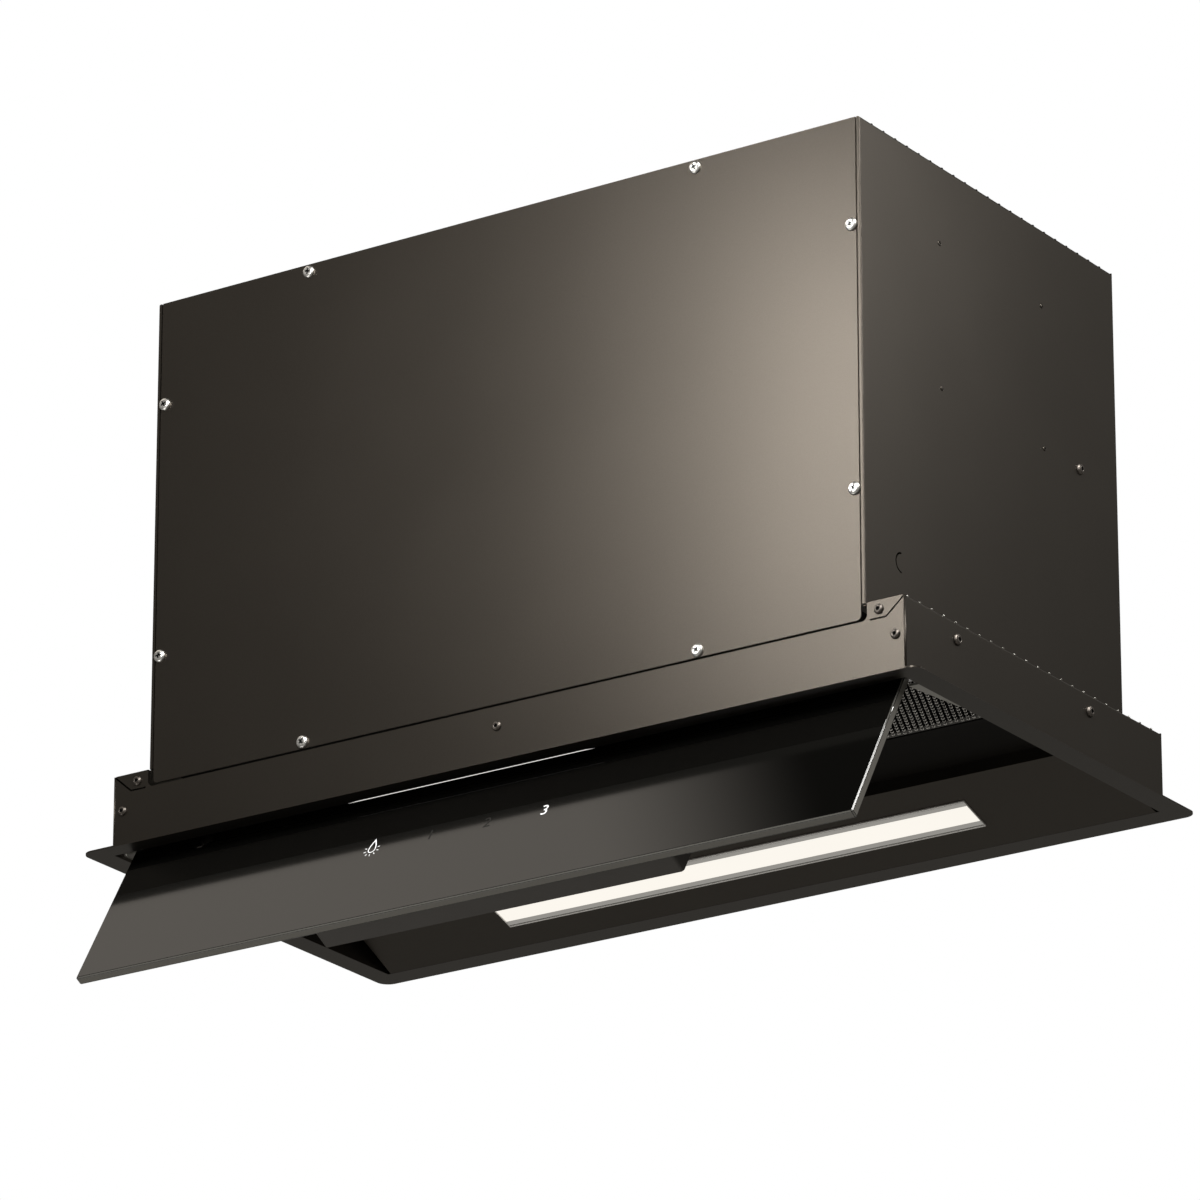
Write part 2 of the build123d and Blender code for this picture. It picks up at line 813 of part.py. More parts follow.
# Spigot: a base ring on the top plate, a tube and an inner ledge that the flaps close on
def make_outlet_spigot():
    inner = spigot_radius - spigot_wall
    ledge = inner - ledge_depth
    pin_z = flap_pin_lift
    ledge_top = pin_z - flap_sheet / 2 - flap_rest_gap
    profile = Polyline(
        (inner, 0), (spigot_flange, 0), (spigot_flange, spigot_base), (spigot_radius, spigot_base),
        (spigot_radius, spigot_height), (inner, spigot_height), (inner, ledge_top), (ledge, ledge_top),
        (ledge, ledge_top - ledge_sheet), (inner, ledge_top - ledge_sheet), close=True,
    )
    ring = revolve(Plane.XZ * make_face(profile), Axis.Z)
    ring -= Pos(0, 0, pin_z) * Rot(0, 90, 0) * Cylinder(flap_pin_radius, 4 * spigot_radius)
    for turn in range(4):
        angle = radians(45 + 90 * turn)
        spot = Pos(spigot_screw_radius * cos(angle), spigot_screw_radius * sin(angle), 0)
        ring -= spot * Cylinder(collar_screw[2], 6 * spigot_base)
    return Pos(0, duct_centre(), housing_top) * ring


def make_spigot_screws():
    screws = []
    for turn in range(4):
        angle = radians(45 + 90 * turn)
        place = Plane(origin=(spigot_screw_radius * cos(angle),
                              duct_centre() + spigot_screw_radius * sin(angle), housing_top + spigot_base))
        sizes = (collar_screw[0], collar_screw[1], collar_screw[2], spigot_base)
        screws.append(fastener(sizes, place, True))
    return Compound(children=screws)


def make_backdraught_pin():
    place = Pos(0, duct_centre(), housing_top + flap_pin_lift) * Rot(0, 90, 0)
    return place * Cylinder(flap_pin_radius, 2 * spigot_radius)


# Backdraught flap: half a disc with every second knuckle of the hinge
def make_backdraught_flap(side):
    disc = Cylinder(flap_radius, flap_sheet)
    keep = side * (flap_air / 2 + flap_radius)
    disc &= Pos(0, keep, 0) * Box(3 * flap_radius, 2 * flap_radius, 2 * flap_sheet)
    pitch = flap_knuckle
    count = int(2 * flap_barrel_half / pitch)
    first = 0 if side > 0 else 1
    flap = disc
    for i in range(count):
        middle = -flap_barrel_half + pitch * (i + 0.5)
        spot = Pos(middle, 0, 0) * Rot(0, 90, 0)
        if i % 2 == first:
            flap += spot * Cylinder(flap_barrel, pitch - flap_air)
        else:
            flap -= spot * Cylinder(flap_barrel + flap_air, pitch + flap_air)
    outer_ends = 2 * (flap_radius - flap_barrel_half) + flap_air
    for x in (-flap_radius, flap_radius):
        flap -= Pos(x, 0, 0) * Rot(0, 90, 0) * Cylinder(flap_barrel, outer_ends)
    flap -= Rot(0, 90, 0) * Cylinder(flap_pin_radius + pin_clearance, 4 * flap_radius)
    return Pos(0, duct_centre(), housing_top + flap_pin_lift) * flap


# Impeller: forward-curved blades between two end rings, on a middle disc with a hub
def make_impeller():
    centre = Plane.YZ * Pos(axis_y, axis_z)
    disc = Circle(impeller_radius - hub_disc_inset) - Circle(shaft_radius)
    wheel = extrude(centre * disc, hub_disc / 2, both=True)
    hub = Circle(hub_radius) - Circle(shaft_radius)
    wheel += extrude(centre * hub, hub_length / 2, both=True)
    ring = Circle(impeller_radius) - Circle(blade_inner)
    for x in (-impeller_half, impeller_half - end_ring):
        wheel += extrude(Plane.YZ.offset(x) * Pos(axis_y, axis_z) * ring, end_ring)
    lead = radians(blade_turn)
    root = (blade_inner + blade_sheet / 2, 0)
    tip_radius = impeller_radius - blade_sheet / 2
    tip = (tip_radius * cos(lead), tip_radius * sin(lead))
    knee = ((root[0] + tip[0]) / 2 + blade_cup, tip[1] * blade_knee)
    blade = trace(Polyline(root, knee, tip), line_width=blade_sheet)
    blades = Sketch() + [Rot(0, 0, 360 * i / blade_count) * blade for i in range(blade_count)]
    wheel += extrude(centre * blades, impeller_half - end_ring / 2, both=True)
    return wheel


def make_motor_shaft():
    left = -scroll_half - shaft_tail
    right = hub_length / 2 + shaft_tail
    return extrude(Plane.YZ.offset(left) * Pos(axis_y, axis_z) * Circle(shaft_radius), right - left)


# Motor case: a turned can with cooling fins, inside the left half of the impeller
def make_motor_case():
    left = -scroll_half - scroll_sheet
    right = -hub_length / 2 - motor_gap
    length = right - left
    centre = Plane.YZ.offset(left) * Pos(axis_y, axis_z)
    can = extrude(centre * Circle(motor_radius - motor_fin), length)
    can = chamfer(can.edges().group_by(Axis.X)[-1], motor_chamfer)
    fin = Pos(motor_radius - 2 * motor_fin, 0) * Rectangle(4 * motor_fin, motor_fin)
    fins = Sketch() + [Rot(0, 0, 360 * i / motor_fin_count) * fin for i in range(motor_fin_count)]
    can += extrude(centre * fins, length - 2 * motor_chamfer)
    return can - extrude(centre * Circle(shaft_radius + pin_clearance), length)


# Motor bracket: a disc with three arms across the left inlet
def make_motor_bracket():
    plate = Circle(bracket_disc)
    for i in range(3):
        plate += Rot(0, 0, 90 + 120 * i) * Pos(bracket_reach / 2, 0) * Rectangle(bracket_reach, bracket_arm)
    plate -= Circle(shaft_radius + bracket_bore_gap)
    for i in range(3):
        spot = Rot(0, 0, 90 + 120 * i) * Pos(bracket_reach - bracket_screw_inset, 0)
        plate -= spot * Circle(bracket_screw[2])
    left = -scroll_half - scroll_sheet - bracket_plate
    return extrude(Plane.YZ.offset(left) * Pos(axis_y, axis_z) * plate, bracket_plate)


def make_motor_screws():
    screws = []
    left = -scroll_half - scroll_sheet - bracket_plate
    for i in range(3):
        angle = radians(90 + 120 * i)
        reach = bracket_reach - bracket_screw_inset
        place = facing_side(left, axis_y + reach * cos(angle), axis_z + reach * sin(angle))
        sizes = (bracket_screw[0], bracket_screw[1], bracket_screw[2], bracket_plate)
        screws.append(fastener(sizes, place, False))
    return Compound(children=screws)


# Riveted plates inside the two side walls
def side_plate_range():
    ys = rivet_rows()
    zs = rivet_levels()
    edge = side_plate_edge
    return (ys[0] - edge, ys[1] + edge), (zs[0] - edge, zs[1] + edge)


def make_side_plates():
    ys, zs = side_plate_range()
    plate = block((housing_inner - side_plate_sheet, housing_inner), ys, zs)
    plates = pair(fillet(plate.edges().filter_by(Axis.X), side_plate_corner))
    for place in rivet_places():
        i = 0 if place.origin.X > 0 else 1
        plates[i] = plates[i] - shank_hole(side_rivet, place)
    return Compound(children=plates)


def electronics_ranges():
    depth, width, height = electronics_size
    ys, zs = side_plate_range()
    y = sum(ys) / 2
    z = sum(zs) / 2
    left = -housing_inner + side_plate_sheet
    return (left, left + depth), (y - width / 2, y + width / 2), (z - height / 2, z + height / 2)


def make_electronics_box():
    xs, ys, zs = electronics_ranges()
    wall = electronics_wall
    body = fillet(block(xs, ys, zs).edges().filter_by(Axis.X), electronics_corner)
    hollow = block((xs[0] + wall, xs[1]), (ys[0] + wall, ys[1] - wall), (zs[0] + wall, zs[1] - wall))
    return body - hollow


def make_electronics_lid():
    xs, ys, zs = electronics_ranges()
    wall = electronics_wall
    return block((xs[1] - wall, xs[1]), (ys[0] + wall, ys[1] - wall), (zs[0] + wall, zs[1] - wall))


def make_power_board():
    xs, ys, zs = electronics_ranges()
    margin = electronics_wall + board_gap
    floor = xs[0] + electronics_wall
    top = floor + board_post + electronics_board
    centre = Plane.YZ * Pos(sum(ys) / 2, sum(zs) / 2)
    width = ys[1] - ys[0] - 2 * margin
    height = zs[1] - zs[0] - 2 * margin
    board = centre * Pos(0, 0, top - electronics_board / 2) * Box(width, height, electronics_board)
    spread = (width - 2 * board_post, height - 2 * board_post)
    for spot in GridLocations(*spread, 2, 2):
        post = Pos(0, 0, floor + board_post / 2) * spot * Box(board_post, board_post, board_post)
        board += centre * post
    for side, size, reach in ((-1, transformer_size, block_spread[0]), (1, terminal_size, block_spread[1])):
        board += centre * Pos(side * reach, 0, top + size[0] / 2) * Box(size[1], size[2], size[0])
    return board


# Capacitor standing on the right side plate, held by a band
def capacitor_axis():
    ys, zs = side_plate_range()
    x = housing_inner - side_plate_sheet - capacitor_radius - capacitor_band
    return x, sum(ys) / 2, sum(zs) / 2


def make_run_capacitor():
    x, y, z = capacitor_axis()
    can = Pos(x, y, z) * Cylinder(capacitor_radius, capacitor_height)
    return chamfer(can.edges().group_by(Axis.Z)[-1], capacitor_band)


def make_capacitor_band():
    x, y, z = capacitor_axis()
    band = Cylinder(capacitor_radius + capacitor_band, capacitor_band_height)
    reach = capacitor_radius + capacitor_band
    width = 2 * (reach + capacitor_band_ear)
    ears = Pos(reach - capacitor_band / 2, 0, 0) * Box(capacitor_band, width, capacitor_band_height)
    strap = band + ears - Cylinder(capacitor_radius, capacitor_band_height)
    return Pos(x, y, z) * strap


# Cable gland in the top plate
def gland_place():
    return Pos(gland_side - housing_half, rear - gland_inset, housing_top)


def make_cable_gland():
    nut = extrude(RegularPolygon(gland_nut, 6), gland_nut_height)
    cap = Pos(0, 0, gland_nut_height) * extrude(Circle(gland_cap), gland_height - gland_nut_height)
    cap = chamfer(cap.edges().group_by(Axis.Z)[-1], gland_chamfer)
    tail = Pos(0, 0, -gland_height) * extrude(Circle(gland_radius), gland_height)
    body = nut + cap + tail
    bore = Pos(0, 0, -gland_height) * extrude(Circle(gland_bore), 2 * gland_height)
    return gland_place() * (body - bore)


def make_screws(sizes, places, domed):
    return Compound(children=[fastener(sizes, place, domed) for place in places])


hinge_bracket = make_hinge_bracket()
hinge_arm = make_hinge_arm()
collar_side = make_collar_side()
scroll_side = make_scroll_side()

nodes = {
    "flange_frame": make_flange_frame(),
    "collar_front": make_collar_front(),
    "collar_side_right": collar_side,
    "collar_side_left": collar_side.mirror(Plane.YZ),
    "collar_rear": make_collar_rear(),
    "housing_shell": make_housing_shell(),
    "rear_panel": make_rear_panel(),
    "front_cover": make_front_cover(),
    "cover_screws": make_screws(cover_screw, cover_screw_places(), False),
    "collar_screws": make_screws(collar_screw, collar_screw_places(), True),
    "side_screws": make_screws(side_screw, housing_screw_places() + collar_side_places(), True),
    "side_rivets": make_screws(side_rivet, rivet_places(), True),
    "side_plates": make_side_plates(),
    "plenum_rail": make_plenum_rail(),
    "inner_pan": make_inner_pan(),
    "lamp_panel": make_lamp_panel(),
    "lamp_frame": make_lamp_frame(),
    "lamp_diffuser": make_lamp_diffuser(),
    "lamp_board": make_lamp_board(),
    "lamp_driver": make_lamp_driver(),
    "front_light_lens": make_front_light_lens(),
    "front_light_board": make_front_light_board(),
    "filter_frame": make_filter_frame(),
    "filter_mesh": make_filter_mesh(),
    "filter_springs": make_filter_springs(),
    "hinge_bracket_right": hinge_bracket,
    "hinge_bracket_left": hinge_bracket.mirror(Plane.YZ),
    "scroll_wall": make_scroll_wall(),
    "scroll_side_right": scroll_side,
    "scroll_side_left": scroll_side.mirror(Plane.YZ),
    "outlet_duct": make_outlet_duct(),
    "outlet_spigot": make_outlet_spigot(),
    "spigot_screws": make_spigot_screws(),
    "backdraught_pin": make_backdraught_pin(),
    "backdraught_flap_rear": make_backdraught_flap(1),
    "backdraught_flap_front": make_backdraught_flap(-1),
    "motor_case": make_motor_case(),
    "motor_bracket": make_motor_bracket(),
    "motor_screws": make_motor_screws(),
    "motor_shaft": make_motor_shaft(),
    "impeller": make_impeller(),
    "electronics_box": make_electronics_box(),
    "electronics_lid": make_electronics_lid(),
    "power_board": make_power_board(),
    "run_capacitor": make_run_capacitor(),
    "capacitor_band": make_capacitor_band(),
    "cable_gland": make_cable_gland(),
    "glass_flap": flap_turn * make_glass_flap(),
    "hinge_arm_right": flap_turn * hinge_arm,
    "hinge_arm_left": flap_turn * hinge_arm.mirror(Plane.YZ),
    "hinge_pins": flap_turn * make_hinge_pins(),
    "sensor_board": flap_turn * make_sensor_board(),
    "sensor_ribbon": flap_turn * make_sensor_ribbon(),
    "control_housing": flap_turn * make_control_housing(),
    "control_lid": flap_turn * make_control_lid(),
    "control_board": flap_turn * make_control_board(),
}

for name, solid in nodes.items():
    solid.label = name
    export_step(solid, "parts/" + name + ".step")
print(len(nodes), "nodes")
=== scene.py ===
import math
import random
import bmesh
import bpy
from mathutils import Matrix, Vector


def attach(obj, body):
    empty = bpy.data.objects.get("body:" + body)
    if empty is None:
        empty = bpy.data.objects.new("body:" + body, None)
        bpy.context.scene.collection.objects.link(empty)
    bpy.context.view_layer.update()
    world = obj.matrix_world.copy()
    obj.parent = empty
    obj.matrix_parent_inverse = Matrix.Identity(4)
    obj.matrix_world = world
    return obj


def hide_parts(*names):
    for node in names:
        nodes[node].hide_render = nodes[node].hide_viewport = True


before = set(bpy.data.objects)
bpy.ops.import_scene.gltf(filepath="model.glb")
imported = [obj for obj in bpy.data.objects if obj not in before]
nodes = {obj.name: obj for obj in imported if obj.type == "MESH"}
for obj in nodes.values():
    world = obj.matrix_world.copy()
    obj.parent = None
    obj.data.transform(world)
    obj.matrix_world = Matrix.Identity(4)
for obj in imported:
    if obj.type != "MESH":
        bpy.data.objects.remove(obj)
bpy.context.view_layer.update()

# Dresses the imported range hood: finishes for every node, detailed fasteners, fold marks,
# the glass with its symbols, the light line, lamp and knitted filter, studio light and camera.
# Metres, +X right, +Y to the rear, +Z up, same place as the CAD.

mm = 0.001
random.seed(12)


# Helpers for meshes
def finishMesh(name, bm, material, body, smooth=True):
    # turns a bmesh into a piece that rides on a body
    mesh = bpy.data.meshes.new(name)
    bm.to_mesh(mesh)
    bm.free()
    piece = bpy.data.objects.new(name, mesh)
    bpy.context.scene.collection.objects.link(piece)
    for one in material if isinstance(material, list) else [material]:
        mesh.materials.append(one)
    for face in mesh.polygons:
        face.use_smooth = smooth
    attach(piece, body)
    return piece


def addCopies(bm, source, places):
    # the same small mesh at many places
    mesh = bpy.data.meshes.new("stamp")
    source.to_mesh(mesh)
    source.free()
    for place in places:
        before = len(bm.verts)
        bm.from_mesh(mesh)
        bm.verts.ensure_lookup_table()
        bmesh.ops.transform(bm, matrix=place, verts=bm.verts[before:])
    bpy.data.meshes.remove(mesh)


def edgeLoop(bm, faces):
    # the outer edges of a patch of faces
    chosen = set(faces)
    return [e for f in faces for e in f.edges if sum(g in chosen for g in e.link_faces) == 1]


def bar(bm, xs, ys, zs, ease=0.0, slot=0):
    # a block between two corners in millimetres, its edges eased
    made = bmesh.ops.create_cube(bm, size=1.0)["verts"]
    bmesh.ops.scale(bm, verts=made, vec=[(b - a) * mm for a, b in (xs, ys, zs)])
    bmesh.ops.translate(bm, verts=made, vec=[(a + b) / 2 * mm for a, b in (xs, ys, zs)])
    for face in {f for v in made for f in v.link_faces}:
        face.material_index = slot
    edges = list({e for v in made for e in v.link_edges})
    if ease:
        bmesh.ops.bevel(bm, geom=edges, offset=ease * mm, affect="EDGES", segments=2, profile=0.5,
                        material=-1)
        return []
    return made


def facing(x, y, z, normal, turn=0.0):
    # a place on a surface, turned round its normal
    spin = Matrix.Rotation(turn, 4, "Z")
    tilt = Vector(normal).to_track_quat("Z", "Y").to_matrix().to_4x4()
    return Matrix.Translation((x * mm, y * mm, z * mm)) @ tilt @ spin


# Helpers for materials
class Shade:
    # one socket of a material, so that shader maths reads as a sum
    def __init__(self, tree, socket=None):
        self.tree = tree
        self.socket = socket

    def node(self, kind, settings=None, inputs=None, out=0):
        made = self.tree.nodes.new("ShaderNode" + kind)
        for name, value in (settings or {}).items():
            if name == "stops":
                ramp = made.color_ramp
                while len(ramp.elements) < len(value):
                    ramp.elements.new(0.5)
                for element, (place, colour) in zip(ramp.elements, value):
                    element.position = place
                    element.color = (*colour, 1)
            else:
                setattr(made, name, value)
        for name, value in (inputs or {}).items():
            self.plug(made.inputs[name], value)
        return Shade(self.tree, made.outputs[out])

    def plug(self, socket, value):
        if isinstance(value, Shade):
            self.tree.links.new(value.socket, socket)
        elif isinstance(value, tuple) and len(value) == 3 and socket.type == "RGBA":
            socket.default_value = (*value, 1)
        else:
            socket.default_value = value

    def sum(self, operation, a, b=0.0):
        return self.node("Math", {"operation": operation}, {0: a, 1: b})

    def __add__(self, other):
        return self.sum("ADD", self, other)

    def __radd__(self, other):
        return self.sum("ADD", other, self)

    def __sub__(self, other):
        return self.sum("SUBTRACT", self, other)

    def __mul__(self, other):
        return self.sum("MULTIPLY", self, other)

    def noise(self, where, scale, detail=2.0, rough=0.5):
        inputs = {"Vector": where, "Scale": scale, "Detail": detail, "Roughness": rough}
        return self.node("TexNoise", {}, inputs)

    def blend(self, factor, dark, light):
        return self.node("Mix", {"data_type": "RGBA"}, {0: factor, 6: dark, 7: light}, out=2)

    def bump(self, height, distance, strength=1.0):
        return self.node("Bump", {}, {"Height": height, "Distance": distance, "Strength": strength})

    def stretch(self, where, scale):
        return self.node("Mapping", {}, {"Vector": where, "Scale": Vector(scale)})


def newMaterial(name, fixed):
    # a principled material, its plain sockets set, and where its patterns are read
    material = bpy.data.materials.new(name)
    material.use_nodes = True
    shader = material.node_tree.nodes["Principled BSDF"]
    shade = Shade(material.node_tree)
    for socket, value in fixed.items():
        shade.plug(shader.inputs[socket], value)
    where = shade.node("TexCoord", {}, {}, out=3)
    return material, shader, shade, where


# Finishes
bronze = {
    "dark": (0.054, 0.0475, 0.0395),    # between the flakes
    "light": (0.074, 0.0655, 0.0555),   # on the flakes
    "metallic": 0.92,
    "roughness": 0.33,
    "flake": 2600,                      # flakes per metre, about
    "peel": 520,                        # orange peel of the powder coat
}


def makeBronzePaint(name):
    material, shader, shade, where = newMaterial(name, {"Metallic": bronze["metallic"], "IOR": 1.45})
    flakes = shade.noise(where, bronze["flake"], 1.0)
    cloud = shade.noise(where, 7.0, 3.0)
    spots = (flakes - 0.5) * 0.9 + (cloud - 0.5) * 0.35 + 0.5
    shade.plug(shader.inputs["Base Color"], shade.blend(spots, bronze["dark"], bronze["light"]))
    shade.plug(shader.inputs["Roughness"], bronze["roughness"] + (cloud - 0.5) * 0.05)
    peel = shade.noise(where, bronze["peel"], 2.0)
    shade.plug(shader.inputs["Normal"], shade.bump(peel, 0.000012, 0.6))
    return material


def makeMetal(name, dark, light, roughness, grain, metallic=1.0, depth=0.00002):
    # brushed or rolled metal, its grain along local x
    material, shader, shade, where = newMaterial(name, {"Metallic": metallic})
    along = shade.stretch(where, (grain[0], grain[1], grain[1]))
    lines = shade.noise(along, 1.0, 3.0, 0.6)
    cloud = shade.noise(where, 30.0, 2.0)
    shade.plug(shader.inputs["Base Color"], shade.blend(lines * 0.7 + cloud * 0.3, dark, light))
    shade.plug(shader.inputs["Roughness"], roughness + (lines - 0.5) * 0.12)
    shade.plug(shader.inputs["Normal"], shade.bump(lines, depth, 0.5))
    return material


def makeSpangle(name):
    # galvanised sheet with its crystals
    material, shader, shade, where = newMaterial(name, {"Metallic": 0.85})
    cells = shade.node("TexVoronoi", {"feature": "F1"}, {"Vector": where, "Scale": 110.0}, out=1)
    tone = shade.node("SeparateColor", {}, {"Color": cells})
    fine = shade.noise(where, 900.0, 2.0)
    mask = tone * 0.7 + fine * 0.3
    shade.plug(shader.inputs["Base Color"], shade.blend(mask, (0.30, 0.31, 0.32), (0.50, 0.51, 0.52)))
    shade.plug(shader.inputs["Roughness"], 0.36 + mask * 0.2)
    shade.plug(shader.inputs["Normal"], shade.bump(fine, 0.00001, 0.4))
    return material


def makePlastic(name, dark, light, roughness, texture=1500.0, gloss=0.5):
    # moulded plastic with a fine spark texture
    material, shader, shade, where = newMaterial(name, {"IOR": 1.5, "Specular IOR Level": gloss})
    fine = shade.noise(where, texture, 2.0)
    cloud = shade.noise(where, 18.0, 2.0)
    shade.plug(shader.inputs["Base Color"], shade.blend(fine * 0.6 + cloud * 0.4, dark, light))
    shade.plug(shader.inputs["Roughness"], roughness + (cloud - 0.5) * 0.1)
    shade.plug(shader.inputs["Normal"], shade.bump(fine, 0.00003, 0.5))
    return material


def makeBoard(name):
    # circuit board: solder mask with faint copper tracks under it
    fixed = {"IOR": 1.5, "Coat Weight": 0.4, "Coat Roughness": 0.15}
    material, shader, shade, where = newMaterial(name, fixed)
    pattern = {"Vector": where, "Scale": 190.0, "Mortar Size": 0.03}
    tracks = shade.node("TexBrick", {"offset": 0.37}, pattern, out=1)
    fine = shade.noise(where, 700.0, 2.0)
    mask = tracks * 0.6 + fine * 0.4
    shade.plug(shader.inputs["Base Color"], shade.blend(mask, (0.010, 0.070, 0.030), (0.045, 0.190, 0.080)))
    shade.plug(shader.inputs["Roughness"], 0.4 + fine * 0.15)
    shade.plug(shader.inputs["Normal"], shade.bump(tracks, 0.00005, 0.4))
    return material


def makeGlow(name, colour, strength, ribs=0.0):
    # lit plastic, its brightness falling a little between the lamps behind it
    base = tuple(c * 0.15 for c in colour)
    fixed = {"Base Color": base, "Roughness": 0.4, "Emission Strength": strength}
    material, shader, shade, where = newMaterial(name, fixed)
    soft = shade.noise(where, 14.0, 1.0)
    shadeOfIt = tuple(c * 0.97 for c in colour)
    shade.plug(shader.inputs["Emission Color"], shade.blend(soft, shadeOfIt, colour))
    if ribs:
        lines = shade.node("TexWave", {"bands_direction": "X"}, {"Vector": where, "Scale": ribs})
        shade.plug(shader.inputs["Normal"], shade.bump(lines, 0.00003, 0.3))
    return material


def makeGlass(name, colour, roughness):
    # back-printed toughened glass: a deep gloss with hardly any wave in it
    material, shader, shade, where = newMaterial(name, {"IOR": 1.52})
    wave = shade.noise(where, 3.0, 1.0)
    dust = shade.noise(where, 1800.0, 2.0)
    lighter = tuple(c * 1.3 + 0.0004 for c in colour)
    shade.plug(shader.inputs["Base Color"], shade.blend(wave, colour, lighter))
    shade.plug(shader.inputs["Roughness"], roughness + dust * 0.02)
    shade.plug(shader.inputs["Normal"], shade.bump(wave, 0.0002, 0.05))
    return material


def makeKnit(name):
    # flattened aluminium wire of the grease filter, some stitches duller than others
    material, shader, shade, where = newMaterial(name, {"Metallic": 0.5})
    grain = shade.noise(where, 620.0, 1.0)
    cloud = shade.noise(where, 40.0, 2.0)
    mask = (grain - 0.5) * 2.2 + (cloud - 0.5) * 0.5 + 0.5
    shade.plug(shader.inputs["Base Color"], shade.blend(mask, (0.40, 0.385, 0.36), (1.0, 0.97, 0.92)))
    shade.plug(shader.inputs["Roughness"], 0.34 + grain * 0.2)
    shade.plug(shader.inputs["Normal"], shade.bump(grain, 0.00008, 0.5))
    return material


bronzePaint = makeBronzePaint("bronzePaint")
# a black inner coat, made darker still as painted shade of the unlit recess
innerCoatAndShade = makePlastic("blackCoatPaintedShade", (0.0055, 0.0048, 0.0040), (0.0085, 0.0075, 0.0062), 0.62,
                         gloss=0.05)
spangle = makeSpangle("galvanisedSheet")
chrome = makeMetal("chromePlate", (0.78, 0.77, 0.74), (0.92, 0.91, 0.88), 0.32, (400, 400))
bronzeScrew = makeMetal("bronzedSteel", (0.115, 0.102, 0.090), (0.165, 0.148, 0.132), 0.36, (500, 500))
zinc = makeMetal("zincPlate", (0.42, 0.41, 0.38), (0.56, 0.55, 0.51), 0.34, (60, 900))
lampSilver = makeMetal("satinAluminium", (0.78, 0.76, 0.73), (0.90, 0.88, 0.85), 0.36, (8, 1600),
                       metallic=0.2)
castAluminium = makeMetal("castAluminium", (0.36, 0.36, 0.36), (0.50, 0.50, 0.50), 0.42, (700, 700),
                          depth=0.00006)
groundSteel = makeMetal("groundSteel", (0.46, 0.46, 0.47), (0.62, 0.62, 0.63), 0.2, (1800, 30))
# the filter frame's aluminium is made dark as painted shade of the recess it sits in
shadedFilterFrame = makeMetal("aluminiumPaintedShade", (0.030, 0.028, 0.025), (0.055, 0.052, 0.047), 0.5, (10, 1200),
                        metallic=0.6)
filterKnit = makeKnit("filterKnit")
blackPlastic = makePlastic("blackPlastic", (0.012, 0.012, 0.012), (0.024, 0.023, 0.022), 0.42)
# near black as painted shade, for screw recesses, grooves, perforations and the space behind the filter knit
paintedShadeBlack = makePlastic("paintedShadeBlack", (0.004, 0.004, 0.004), (0.007, 0.0065, 0.006), 0.7, gloss=0.02)
smokedPlastic = makePlastic("smokedPlastic", (0.006, 0.006, 0.006), (0.010, 0.010, 0.009), 0.3)
brownPlastic = makePlastic("brownPlastic", (0.030, 0.026, 0.021), (0.046, 0.040, 0.033), 0.36)
greyPlastic = makePlastic("greyPlastic", (0.20, 0.20, 0.20), (0.28, 0.28, 0.275), 0.45)
board = makeBoard("circuitBoard")
flapGlass = makeGlass("blackGlass", (0.0034, 0.0033, 0.0029), 0.015)
glassBevel = makeGlass("groundGlassBevel", (0.115, 0.112, 0.101), 0.11)
glassEdge = makeGlass("polishedGlassEdge", (0.135, 0.129, 0.114), 0.14)
glassShade = makeGlass("shadedGlassEdge", (0.035, 0.035, 0.031), 0.14)
lampGlow = makeGlow("lampGlow", (0.925, 0.885, 0.815), 1.0, 300.0)
# the rails beside the diffuser glow a little: painted light from the lamp falling on them
railPaintedGlow = makeGlow("railPaintedGlow", (0.27, 0.26, 0.24), 1.0)
lineGlow = makeGlow("lightLineGlow", (1.0, 0.98, 0.94), 0.85)
markGlow = makeGlow("markLit", (1.0, 1.0, 1.0), 1.3)
markDim = makePlastic("markUnlit", (0.024, 0.023, 0.021), (0.032, 0.031, 0.028), 0.85, gloss=0.1)

finishes = {
    "flange_frame": bronzePaint, "collar_front": bronzePaint, "collar_side_right": bronzePaint,
    "collar_side_left": bronzePaint, "collar_rear": bronzePaint, "housing_shell": bronzePaint,
    "rear_panel": bronzePaint, "front_cover": bronzePaint, "side_plates": spangle, "plenum_rail": innerCoatAndShade,
    "inner_pan": innerCoatAndShade, "lamp_panel": bronzePaint, "lamp_frame": lampSilver, "lamp_diffuser": lampGlow,
    "lamp_board": board, "lamp_driver": greyPlastic, "front_light_lens": lineGlow, "front_light_board": board,
    "filter_frame": shadedFilterFrame, "filter_mesh": filterKnit, "filter_springs": groundSteel,
    "hinge_bracket_right": zinc, "hinge_bracket_left": zinc, "scroll_wall": spangle,
    "scroll_side_right": spangle, "scroll_side_left": spangle, "outlet_duct": blackPlastic,
    "outlet_spigot": blackPlastic, "backdraught_pin": groundSteel, "backdraught_flap_rear": greyPlastic,
    "backdraught_flap_front": greyPlastic, "motor_case": castAluminium, "motor_bracket": zinc,
    "motor_shaft": groundSteel, "impeller": spangle, "electronics_box": blackPlastic,
    "electronics_lid": blackPlastic, "power_board": board, "run_capacitor": castAluminium,
    "capacitor_band": zinc, "cable_gland": blackPlastic, "glass_flap": flapGlass, "hinge_arm_right": zinc,
    "hinge_arm_left": zinc, "hinge_pins": groundSteel, "sensor_board": board, "sensor_ribbon": greyPlastic,
    "control_housing": brownPlastic, "control_lid": brownPlastic, "control_board": board,
    "cover_screws": chrome, "collar_screws": bronzeScrew, "side_screws": bronzeScrew,
    "side_rivets": bronzePaint, "spigot_screws": zinc, "motor_screws": zinc,
}
for nodeName, material in finishes.items():
    slots = nodes[nodeName].data.materials
    slots.clear()
    slots.append(material)
print("finishes on", len(finishes), "nodes")


# Fasteners, in millimetres
front = 6.4           # front face of the cover and collar
collarHalf = 284.0
housingHalf = 257.5
headSides = 24        # a round socket needs as many as its head, or it bridges shut

